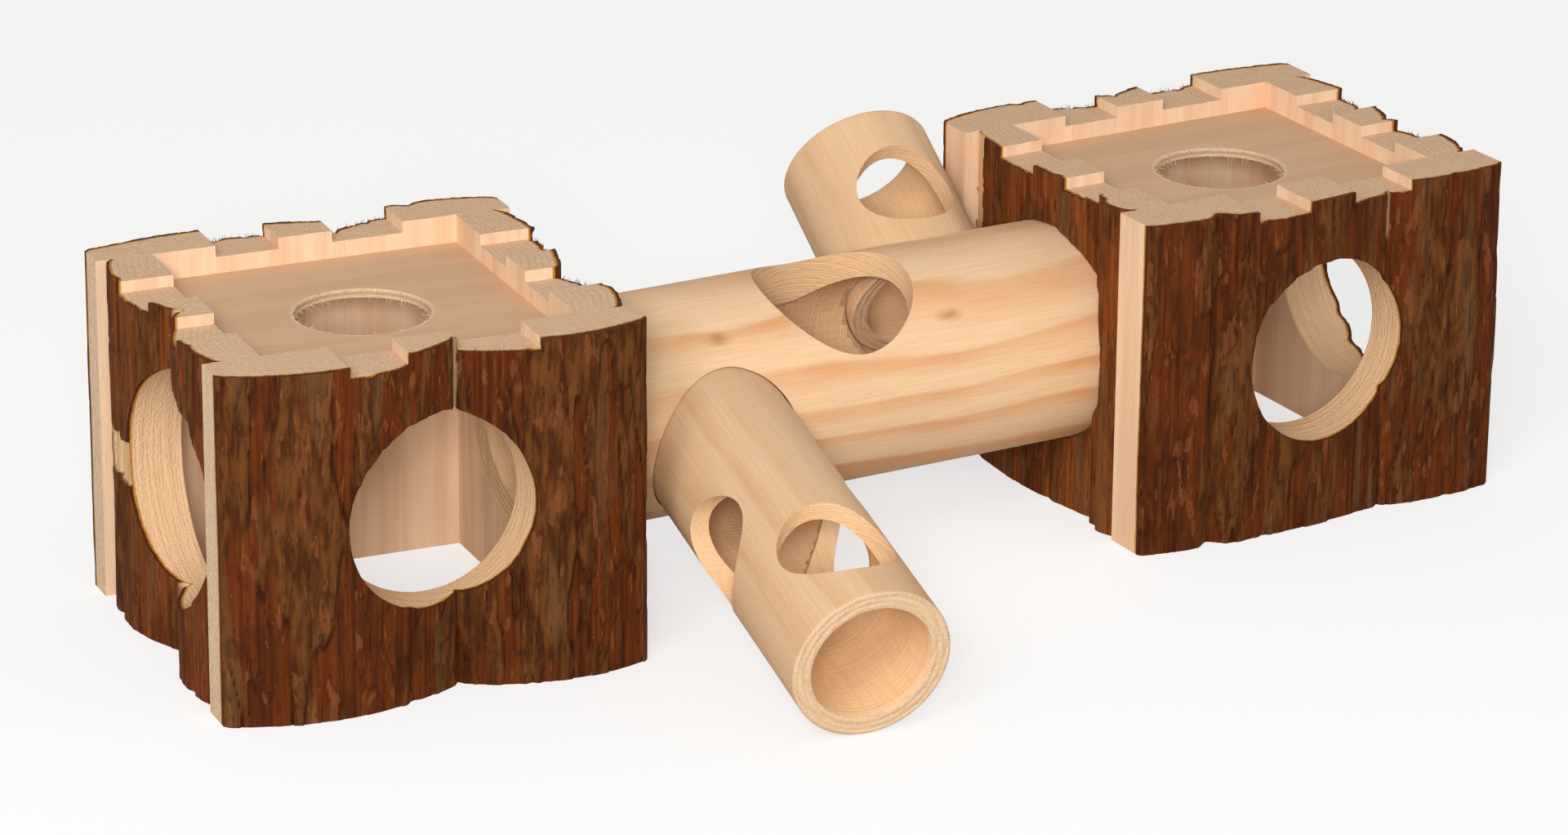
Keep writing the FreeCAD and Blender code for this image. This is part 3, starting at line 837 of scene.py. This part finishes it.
LOG_PLACE = moved(*log_start) @ moved(-PLUG_DEPTH, 0, TUNNEL_HEIGHT) @ turned("Y", 90)
LOG_LENGTH = TOWER_GAP + PLUG_DEPTH * 2
log_axis = moved(*log_start) @ moved(0, 0, TUNNEL_HEIGHT)
FRONT_PLACE = log_axis @ moved(FRONT_BRANCH_AT) @ turned("Z", -FRONT_LEAN) @ turned("X", 90 + FRONT_SLOPE)
BACK_PLACE = log_axis @ moved(BACK_BRANCH_AT) @ turned("Z", 180 - BACK_LEAN) @ turned("X", 90 - BACK_RISE)
WINDOW_PLACE = log_axis @ moved(WINDOW_AT) @ turned("X", 90 - WINDOW_ELEVATION)
drop = TUNNEL_HEIGHT - BRANCH_RADIUS * math.cos(math.radians(FRONT_SLOPE))
FRONT_REACH = drop / math.sin(math.radians(FRONT_SLOPE))
print("front branch reach:", round(FRONT_REACH, 2), "mm")

# %% [markdown]
# Turned pine shows its growth rings as long soft bands, because the round surface cuts through
# the rings at a slant. Rings are easiest as distances from a wandering pith beside the axis: the
# same field then gives bands along the log, arches where it swells, and circles on its ends.
# %% Pine and branch wood
def ring_field(look, pith, width, wander, shift):
    """Growth rings from 0 to 1, with slow early wood and a quick dark edge."""
    grain = look.on_mesh("grain", "Vector")
    slow = look.vector("MULTIPLY_ADD", grain, (0.02, 0.02, 0.007), (shift,) * 3)
    fine = look.vector("MULTIPLY_ADD", grain, (0.16, 0.16, 0.03), (shift,) * 3)
    bent = look.vector("MULTIPLY_ADD", look.noise_at(slow, 1.0, "Color"), (wander, wander, 0), grain)
    bent = look.vector("MULTIPLY_ADD", look.noise_at(fine, 2.0, "Color"), (1.1, 1.1, 0), bent)
    # Half of each noise's reach is taken off again, so the pith stays where it was asked for.
    off = tuple(-pith[k] - wander / 2 - 0.55 for k in (0, 1)) + (0.0,)
    flat = look.vector("MULTIPLY", look.vector("ADD", bent, off), (1.0, 1.0, 0.0))
    ring = look.math("FRACT", look.math("DIVIDE", look.vector("LENGTH", flat), width))
    return look.math("SUBTRACT", look.step(ring, 0.25, 0.86), look.step(ring, 0.86, 1.0))


def knot_share(look, places):
    """Dark where the surface comes near one of the knots, given in grain coordinates."""
    share = 0.0
    squeezed = (1.0, 1.0, 0.5)
    for place, radius in places:
        shift = tuple(-p * k for p, k in zip(place, squeezed))
        apart = look.vector("MULTIPLY_ADD", look.on_mesh("grain", "Vector"), squeezed, shift)
        apart = look.math("SUBTRACT", look.vector("LENGTH", apart), 1.2)
        ragged = look.math("MULTIPLY_ADD", look.noise(1.6, 4.0, 3.0, 19.0), 2.4, apart)
        share = look.math("MAXIMUM", share, look.step(ragged, 0.0, radius, 1.0, 0.0))
    return share


def pine_surface(name, pale, band, strength, pith, width, knots=(), painted_shade_reach=None):
    """The turned outside: soft bands, fibres and pores, and where asked knots and painted shade, a grey end
    where the left tower's shadow falls on the log.
    """
    look = Look(name)
    rings = ring_field(look, pith, width, 9.0, 3.7)
    patchy = look.step(look.noise(18.0, 60.0, 2.0, 9.0), 0.3, 0.7, 0.45, 1.0)
    wood = look.mix(look.times(look.times(rings, strength), patchy), colour(*pale), colour(*band))
    fibre = look.patches(0.35, 0.7, 0.4, 24.0, 3.0, 4.0)
    wood = look.over(wood, fibre, 0.16, (168, 112, 62))
    wood = look.over(wood, look.patches(0.7, 0.8, 0.35, 5.0, 2.0, 6.0), 0.25, (142, 88, 46))
    # Painted shade: the log turns grey and darker near its end at the left tower, where the tower's shadow
    # falls, and this fades out further along.
    if painted_shade_reach:
        along = look.node("SeparateXYZ", {0: look.on_mesh("grain", "Vector")}, 2)
        cloud = look.times(look.noise(14.0, 24.0, 3.0, 17.0), 40.0)
        painted_shade_share = look.step(look.math("ADD", along, cloud), 40.0, painted_shade_reach + 20, 0.4, 0.0)
        wood = look.mix(painted_shade_share, wood, colour(176, 148, 104))
    if knots:
        wood = look.over(wood, knot_share(look, knots), 0.6, (158, 94, 52))
    relief = look.math("MULTIPLY_ADD", rings, 0.5, look.times(fibre, 0.5))
    return look.finish(wood, 0.56, relief, 0.09, 0.3)


def pine_end(name, pale, dark, width, pith):
    """Sawn ends: rough, with rings and the round scratches of the cutter."""
    look = Look(name)
    flat = look.vector("MULTIPLY", look.on_mesh("grain", "Vector"), (1.0, 1.0, 0.0))
    scratch = look.math("SINE", look.times(look.vector("LENGTH", flat), 3.0))
    rings = look.times(ring_field(look, pith, width, 6.0, 3.7), 0.4)
    share = look.math("ADD", rings, look.times(look.step(scratch, -1.0, 1.0), 0.16))
    rough = look.noise(0.5, 0.5, 4.0, 2.0)
    wood = look.mix(share, colour(*pale), colour(*dark))
    wood = look.over(wood, look.step(rough, 0.4, 0.62), 0.6, (236, 208, 176))
    relief = look.math("MULTIPLY_ADD", scratch, 0.3, look.times(rough, 1.8))
    return look.finish(wood, 0.85, relief, 0.22)


def pine_bore(name, pale, dark):
    """The bored inside and the windows' walls: torn fibres and the cutter's rings."""
    look = Look(name)
    place = look.node("CombineXYZ", {0: look.times(look.on_mesh("drilled"), 1.15)})
    ring = look.step(look.noise_at(place, 3.0), 0.34, 0.66)
    torn = look.patches(0.35, 0.7, 1.2, 9.0, 3.0, 13.0)
    share = look.math("ADD", look.times(ring, 0.35), look.times(torn, 0.3))
    wood = look.mix(share, colour(*pale), colour(*dark))
    return look.finish(wood, 0.8, look.math("ADD", ring, look.times(torn, 0.7)), 0.1)


LOG_PITH, BRANCH_PITH = (15.0, -7.0), (4.0, 8.0)
LOG_KNOTS = [((-28.1, -24.8, 58.0), 3.6), ((-23.5, -29.2, 143.0), 3.4)]
log_materials = [
    pine_surface("pine_log_face", (236, 198, 158), (214, 150, 96), 0.8, LOG_PITH, 6.0,
                 knots=LOG_KNOTS, painted_shade_reach=60),
    pine_end("pine_log_end", (226, 186, 138), (196, 144, 92), 6.0, LOG_PITH),
    pine_bore("pine_log_bore", (242, 204, 160), (222, 174, 126)),
]
branch_materials = [
    pine_surface("branch_face", (228, 190, 150), (208, 160, 112), 0.55, BRANCH_PITH, 5.0),
    pine_end("branch_end", (228, 192, 152), (196, 152, 110), 3.6, BRANCH_PITH),
    pine_bore("branch_bore", (242, 204, 160), (224, 180, 134)),
]
print("round wood materials:", [material.name for material in log_materials + branch_materials])

# %% [markdown]
# The log gets its window and its two branch sockets as a drill makes them, straight through the
# wall at the drill's own slant. Each branch then gets its own windows. What is left between a
# window and the bore is a thin edge, which the drill leaves sharp and a little torn.
# %% The log and its branches
ON_DRILL_WALL = 0.35


def make_ring(node, place, sizes, turns, materials, seed, drills, body):
    """A bored round piece with its drilled holes. It keeps its grain and the drills' marks."""
    points, faces, slots = ring_points(*sizes, turns, seed)
    ring = mesh_object(node + "_wood", carried(place, points), faces, slots, materials)
    cutters = [cutter for cutter, matrix, hole in drills]
    cut_away(ring, cutters)
    remove_objects(cutters)
    world = vertex_array(ring.data)
    local = carried(np.linalg.inv(place), world)
    marks = local[:, 2].copy()
    for cutter, matrix, hole in drills:
        x, y, along = carried(np.linalg.inv(matrix), world).T
        on_wall = (np.abs(np.hypot(x, y) - hole) < ON_DRILL_WALL) & (along > 0)
        marks = np.where(on_wall, along, marks)
    store_number(ring.data, "drilled", marks)
    store_vector(ring.data, "grain", local)
    settle(ring, moved(), 40.0)
    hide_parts(node)
    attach(ring, body)
    print(ring.name, len(ring.data.polygons), "faces")
    return ring


def log_drill(matrix, radius, seed):
    return drill(matrix, radius, 5.0, 60.0, log_materials, seed), matrix, radius


def window_drill(place, along, radius, side, seed):
    """A window through the upper wall, or one drilled through both side walls."""
    turn, first = (turned("X", -90), 3.0) if side == "top" else (turned("Y", 90), -45.0)
    matrix = place @ moved(0, 0, along) @ turn
    return drill(matrix, radius, first, 45.0, branch_materials, seed, 128), matrix, radius


socket = BRANCH_RADIUS + PLUG_CLEARANCE
make_ring("main_tube", LOG_PLACE, (TUNNEL_RADIUS, TUNNEL_WALL, 0.0, LOG_LENGTH), 208, log_materials, 301,
          [log_drill(WINDOW_PLACE, WINDOW_RADIUS, 311), log_drill(FRONT_PLACE, socket, 312),
           log_drill(BACK_PLACE, socket, 313)], "tunnel")
make_ring("front_tube", FRONT_PLACE, (BRANCH_RADIUS, BRANCH_WALL, BRANCH_INNER_END, FRONT_REACH), 168,
          branch_materials, 401,
          [window_drill(FRONT_PLACE, FRONT_REACH - FRONT_WINDOW_BACK, FRONT_WINDOW_RADIUS, "top", 411),
           window_drill(FRONT_PLACE, FRONT_REACH - SIDE_WINDOW_BACK, SIDE_WINDOW_RADIUS, "side", 412)],
          "front_branch")
make_ring("back_tube", BACK_PLACE, (BRANCH_RADIUS, BRANCH_WALL, BRANCH_INNER_END, BACK_REACH), 168,
          branch_materials, 501, [window_drill(BACK_PLACE, BACK_WINDOW_AT, BACK_WINDOW_RADIUS, "top", 511)],
          "back_branch")

# %% [markdown]
# Each roof is thin plywood: three glued layers, the middle one across the others, so a cut edge
# shows a pale, a dark and a pale stripe. The round hole is sawn, and its rim is lighter and torn.
# %% Roof panels
FACE_PLY, EDGE_PLY = range(2)


def plywood_materials():
    face, edge = Look("plywood_face"), Look("plywood_edge")
    wood = streaky_wood(face, (214, 175, 139), (203, 164, 128), 1.2, 45.0)
    wood = face.mix(face.step(face.on_mesh("rim"), 0.0, 1.0), wood, colour(232, 204, 174))
    layer = edge.node("SeparateXYZ", {0: edge.on_mesh("grain", "Vector")}, 1)
    middle = edge.math("SUBTRACT", edge.step(layer, 0.9, 1.05), edge.step(layer, 1.95, 2.1))
    rough = edge.patches(0.3, 0.7, 0.5, 0.5, 4.0, 3.0)
    cut = edge.mix(rough, colour(222, 188, 150), colour(236, 208, 176))
    cut = edge.over(cut, middle, 0.55, (186, 144, 102))
    return [face.finish(wood, 0.62, face.noise(0.5, 9.0, 3.0), 0.08), edge.finish(cut, 0.85, rough, 0.2)]


plywood = plywood_materials()


def make_panel(tower):
    """A tower's roof, with its round hole sawn out."""
    node = tower + "_tower_roof_panel"
    left, right = SIDE_RECESS + SIDE_THICKNESS, TOWER_WIDTH - SIDE_RECESS - SIDE_THICKNESS
    front, back = FACE_THICKNESS[tower + "_front"], TOWER_DEPTH - FACE_THICKNESS[tower + "_back"]
    top = TOWER_HEIGHT - PANEL_DROP
    seed = 601 if tower == "left" else 651

    def shape(along, depth, height):
        sunk = 0.12 + 0.1 * fractal(along / 30, depth / 12, seed)
        return along, depth, np.where(height > top - 0.01, height - sunk, height)

    alongs = np.arange(left, right + 0.01, (right - left) / 90)
    depths = np.arange(front, back + 0.01, (back - front) / 90)
    heights = np.linspace(top - PANEL_THICKNESS, top, 5)
    slots = {"w1": FACE_PLY, "w0": FACE_PLY}
    slots.update(dict.fromkeys(("u0", "u1", "v0", "v1"), EDGE_PLY))
    points, faces, face_slots = closed_block(alongs, depths, heights, shape, slots, flat=("w0",))
    panel = mesh_object(node + "_ply", points, faces, face_slots, plywood)
    hole_place = moved(TOWER_WIDTH / 2, TOWER_DEPTH / 2)

    def hole_shape(angle, station, radius):
        chamfer = 0.45 * ramped(station, top - 0.75, top - 0.1)
        rough = 0.1 * fractal(angle * 20, station / 0.8, seed + 3)
        away = radius + chamfer + rough + 0.06 * fractal(angle * 3, 0 * angle, seed + 5)
        return away * np.cos(angle), away * np.sin(angle), station

    stations = np.concatenate([[top - 8], np.arange(top - 4, top + 1.5, 0.33), [top + 6]])
    points, faces, face_slots = bore_rings(ROOF_HOLE_RADIUS, stations, hole_shape, EDGE_PLY, 200)
    cutter = mesh_object("hole", carried(hole_place, points), faces, face_slots, plywood)
    cut_away(panel, [cutter])
    remove_objects([cutter])
    local = vertex_array(panel.data)
    from_hole = np.hypot(local[:, 0] - TOWER_WIDTH / 2, local[:, 1] - TOWER_DEPTH / 2) - ROOF_HOLE_RADIUS
    store_number(panel.data, "rim", 1 - ramped(from_hole, 0.4, 0.8))
    layers = local[:, 2] - top + PANEL_THICKNESS
    store_vector(panel.data, "grain", np.stack([local[:, 1] + seed, layers, local[:, 0]], axis=1))
    settle(panel, TOWER_PLACES[tower], 30.0)
    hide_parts(node)
    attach(panel, tower + "_tower")
    return panel


panels = {tower: make_panel(tower) for tower in ("left", "right")}
print("roof panels:", [len(panel.data.polygons) for panel in panels.values()], "faces")

# %% [markdown]
# Sawn plywood and torn bark leave loose fibres on their edges. Hundreds of them follow a rim,
# each a little different, so a Geometry Nodes tree sets them out. The rim is a line of edges
# that carries an aim, the way its fibres point. The tree's inputs are the sizes; at the end the
# result becomes a plain mesh, so nothing is left to work out later.
# %% A tree that sets torn fibres along a rim
FIBRE_INPUTS = (
    ("Rim", "NodeSocketGeometry"), ("Spacing", "NodeSocketFloat"), ("Length", "NodeSocketFloat"),
    ("Thickness", "NodeSocketFloat"), ("Share kept", "NodeSocketFloat"), ("Spread", "NodeSocketVector"),
    ("Material", "NodeSocketMaterial"),
)


def fibre_tree():
    tree = bpy.data.node_groups.new("torn_fibres", "GeometryNodeTree")
    for name, kind in FIBRE_INPUTS:
        tree.interface.new_socket(name=name, in_out="INPUT", socket_type=kind)
    tree.interface.new_socket(name="Fibres", in_out="OUTPUT", socket_type="NodeSocketGeometry")
    given = tree.nodes.new("NodeGroupInput").outputs

    def made(kind, inputs, output=0, **settings):
        return add_node(tree, kind, inputs, **settings).outputs[output]

    line = made("GeometryNodeMeshToCurve", {"Mesh": given["Rim"]})
    line = made("GeometryNodeResampleCurve", {"Curve": line, "Length": given["Spacing"]}, mode="LENGTH")
    splinter = made("GeometryNodeMeshCone", {
        "Vertices": 5, "Side Segments": 3, "Radius Top": 0.00001, "Radius Bottom": given["Thickness"],
        "Depth": given["Length"]})
    keep = made("FunctionNodeRandomValue", {"Probability": given["Share kept"], "Seed": 3}, 3,
                data_type="BOOLEAN")
    growth = made("FunctionNodeRandomValue", {2: 0.3, 3: 1.0, "Seed": 5}, 1, data_type="FLOAT")
    back = made("ShaderNodeVectorMath", {0: given["Spread"], "Scale": -1.0}, operation="SCALE")
    lean = made("FunctionNodeRandomValue", {0: back, 1: given["Spread"], "Seed": 7},
                data_type="FLOAT_VECTOR")
    aim = made("GeometryNodeInputNamedAttribute", {"Name": "aim"}, data_type="FLOAT_VECTOR")
    aimed = made("FunctionNodeAlignRotationToVector", {"Vector": aim}, axis="Z")
    aimed = made("FunctionNodeRotateRotation", {0: aimed, 1: lean})
    fibres = made("GeometryNodeInstanceOnPoints", {
        "Points": line, "Selection": keep, "Instance": splinter, "Rotation": aimed, "Scale": growth})
    fibres = made("GeometryNodeRealizeInstances", {0: fibres})
    fibres = made("GeometryNodeSetMaterial", {"Geometry": fibres, "Material": given["Material"]})
    tree.links.new(fibres, tree.nodes.new("NodeGroupOutput").inputs[0])
    return tree


def fibre_material(name, dark, pale):
    look = Look(name)
    noise = look.noise_at(look.node("TexCoord", (), "Object"), 3.0, scale=700.0)
    wood = look.mix(look.step(noise, 0.35, 0.65), colour(*dark), colour(*pale))
    return look.finish(wood, 0.8, noise, 0.05)


fibres_of = fibre_tree()
WOOD_FIBRE = fibre_material("wood_fibre", (206, 166, 124), (240, 212, 180))
BARK_FIBRE = fibre_material("bark_fibre", (70, 30, 9), (150, 90, 46))
print("the fibre tree takes:", ", ".join(name for name, kind in FIBRE_INPUTS))


def torn_fibres(name, strands, sizes, material, body):
    """Fibres on strands, each a row of points with aims in house millimetres and a closed mark."""
    points, aims, edges = [], [], []
    for row, row_aims, closed in strands:
        first = len(points)
        points += [tuple(point) for point in row * MM]
        aims += [tuple(aim) for aim in row_aims]
        edges += [(k, k + 1) for k in range(first, len(points) - 1)]
        if closed:
            edges.append((len(points) - 1, first))
    mesh = bpy.data.meshes.new(name)
    mesh.from_pydata(points, edges, [])
    store_vector(mesh, "aim", np.array(aims))
    piece = bpy.data.objects.new(name, mesh)
    bpy.context.scene.collection.objects.link(piece)
    modifier = piece.modifiers.new("fibres", "NODES")
    modifier.node_group = fibres_of
    values = dict(sizes, Material=material)
    for socket in fibres_of.interface.items_tree:
        if socket.in_out == "INPUT" and socket.name in values:
            modifier[socket.identifier] = values[socket.name]
    whole = piece.evaluated_get(bpy.context.evaluated_depsgraph_get())
    result = bpy.data.meshes.new_from_object(whole)
    piece.modifiers.clear()
    piece.data = result
    bpy.data.meshes.remove(mesh)
    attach(piece, body)
    return piece

# %% [markdown]
# Pale fibres hang into each roof hole, from its upper and its lower edge. Brown ones stand along
# the castle gaps, where the saw tore the bark instead of cutting it.
# %% Fibres on the roof holes and castle gaps
def turned_only(matrix, vectors):
    return vectors @ matrix[:3, :3].T


def roof_strands(tower):
    """Two rims round the roof hole, with fibres that aim inwards."""
    place = TOWER_PLACES[tower] @ moved(TOWER_WIDTH / 2, TOWER_DEPTH / 2)
    angles = np.linspace(0, 2 * math.pi, 96, endpoint=False)
    circle = np.stack([np.cos(angles), np.sin(angles), 0 * angles], axis=1)
    top = TOWER_HEIGHT - PANEL_DROP
    strands = []
    for height, grown, dip in ((top - 0.35, 0.3, 0.2), (top - PANEL_THICKNESS + 0.15, 0.1, -0.5)):
        row = circle * (ROOF_HOLE_RADIUS + grown) + (0, 0, height)
        aims = np.array((-1, -1, 0)) * circle + (0, 0, dip)
        strands.append((carried(place, row), turned_only(place, aims), True))
    return strands


def crenel_strands(tower):
    """A line under the bark's edge in each castle gap, with fibres that aim up and outwards."""
    strands = []
    for side in ("front", "right", "back", "left"):
        place = TOWER_PLACES[tower] @ WALL_PLACES[side]
        for order in ("one", "two"):
            facts = board_facts(tower, side, order)
            for low, high in crenel_spans(side, facts["length"]):
                low, high = max(low, facts["begin"]) + 0.4, min(high, facts["finish"]) - 0.4
                if high - low < 3:
                    continue
                along = np.linspace(low, high, 24)
                height = 0 * along + TOWER_HEIGHT - CRENEL_DEPTH - 0.5
                depth = bark_surface(facts, along, height) + 0.45
                aims = np.stack([0 * along, 0 * along - 0.35, 0 * along + 1], axis=1)
                row = carried(place, np.stack([along, depth, height], axis=1))
                strands.append((row, turned_only(place, aims), False))
    return strands


for tower in ("left", "right"):
    pale_sizes = {"Spacing": 0.9 * MM, "Length": 3.0 * MM, "Thickness": 0.15 * MM, "Share kept": 0.5,
                  "Spread": (0.7, 0.7, 0.0)}
    bark_sizes = {"Spacing": 0.45 * MM, "Length": 2.2 * MM, "Thickness": 0.2 * MM, "Share kept": 0.7,
                  "Spread": (0.6, 0.6, 0.0)}
    for name, strands, sizes, material, slot in (
            ("roof_fibres", roof_strands(tower), pale_sizes, WOOD_FIBRE, "roof_plywood"),
            ("bark_fuzz", crenel_strands(tower), bark_sizes, BARK_FIBRE, "bark_board")):
        piece = torn_fibres(tower + "_tower_" + name, strands, sizes, material, tower + "_tower")
        print(piece.name, len(piece.data.polygons), "faces")

# %% [markdown]
# The stage is a plain pale floor that fades into a white world. The floor gives off a little
# light to the camera only, so it looks white and still keeps the house's soft shadow, while the
# light that reaches the wood stays at a plain level.
# %% Floor, world and lamps
FLOOR_REACH = 4


def make_floor():
    mesh = bpy.data.meshes.new("floor")
    corners = [(x * FLOOR_REACH, y * FLOOR_REACH, 0) for x, y in ((-1, -1), (1, -1), (1, 1), (-1, 1))]
    mesh.from_pydata(corners, [], [(0, 1, 2, 3)])
    floor = bpy.data.objects.new("floor", mesh)
    bpy.context.scene.collection.objects.link(floor)
    look = Look("pale_floor")
    lit = look.node("BsdfDiffuse", {"Color": (0.36, 0.36, 0.36, 1)})
    glow = look.node("Emission", {"Color": (1, 1, 1, 1), "Strength": 0.66})
    seen = look.node("AddShader", {0: lit, 1: glow})
    plain = look.node("BsdfDiffuse", {"Color": (0.7, 0.69, 0.67, 1)})
    by_camera = look.node("LightPath", (), "Is Camera Ray")
    surface = look.node("MixShader", {0: by_camera, 1: plain, 2: seen})
    add_node(look.tree, "OutputMaterial", {"Surface": surface})
    mesh.materials.append(look.material)
    return floor


def make_world(soft_light):
    """Soft light for the wood, and plain white where the world itself is seen."""
    world = bpy.data.worlds.new("studio")
    world.use_nodes = True
    tree = world.node_tree
    tree.nodes.clear()
    rays = add_node(tree, "LightPath").outputs
    looked_at = rays["Is Camera Ray"]
    for kind in ("Is Glossy Ray", "Is Transmission Ray"):
        looked_at = add_node(tree, "Math", {0: looked_at, 1: rays[kind]}, operation="MAXIMUM").outputs[0]
    soft = add_node(tree, "Background", {"Color": (1.0, 0.985, 0.96, 1), "Strength": soft_light})
    white = add_node(tree, "Background", {"Color": (1, 1, 1, 1), "Strength": 1.0})
    mix = add_node(tree, "MixShader", {0: looked_at, 1: soft.outputs[0], 2: white.outputs[0]})
    add_node(tree, "OutputWorld", {"Surface": mix.outputs[0]})
    bpy.context.scene.world = world


def make_lamp(name, place, target, size, watts, tint):
    light = bpy.data.lights.new(name, "AREA")
    light.size = size
    light.energy = watts
    light.color = tint
    lamp = bpy.data.objects.new(name, light)
    lamp.location = place
    lamp.rotation_euler = (Vector(target) - Vector(place)).to_track_quat("-Z", "Y").to_euler()
    bpy.context.scene.collection.objects.link(lamp)


make_floor()
make_world(0.42)
make_lamp("key", (-1.6, -1.3, 1.45), (0, 0, 0.05), 0.9, 21.0, (1.0, 0.98, 0.95))
make_lamp("front", (-1.2, -1.9, 0.95), (0, 0, 0.05), 0.45, 30.0, (1.0, 0.98, 0.96))
make_lamp("fill", (1.6, -1.6, 0.9), (0, 0, 0.05), 1.6, 5.0, (0.97, 0.98, 1.0))
bpy.context.scene.view_settings.view_transform = "Standard"
print("lamps:", [light.name for light in bpy.data.lights])

# %% [markdown]
# The camera stands where the photograph's did. Its place and turn were worked out from corners
# of the two towers, whose sizes and places are known, until those corners fell on themselves.
# %% Camera at the photograph's angle
def make_camera(place, yaw, pitch, roll, lens):
    """Yaw turns from +Y towards +X, pitch is downwards, and roll lifts the right-hand side."""
    yaw, pitch, roll = (math.radians(angle) for angle in (yaw, pitch, roll))
    ahead = Vector((math.sin(yaw) * math.cos(pitch), math.cos(yaw) * math.cos(pitch), -math.sin(pitch)))
    level = Vector((math.cos(yaw), -math.sin(yaw), 0))
    above = level.cross(ahead)
    right = level * math.cos(roll) + above * math.sin(roll)
    up = above * math.cos(roll) - level * math.sin(roll)
    data = bpy.data.cameras.new("photo_camera")
    data.lens = lens
    data.sensor_width = 36.0
    data.sensor_fit = "HORIZONTAL"
    data.clip_start = 0.1
    data.dof.use_dof = False
    camera = bpy.data.objects.new("photo_camera", data)
    camera.location = place
    turn = np.array([right, up, -ahead]).T
    camera.rotation_euler = Matrix(turn.tolist()).to_euler()
    bpy.context.scene.collection.objects.link(camera)
    bpy.context.scene.camera = camera
    return camera


camera_place = (log_start + (-901.8, -1695.5, 772.3)) * MM
camera = make_camera(camera_place.tolist(), 30.08, 20.34, 0.5, 144.3)
print("camera at", [round(value, 4) for value in camera.location])
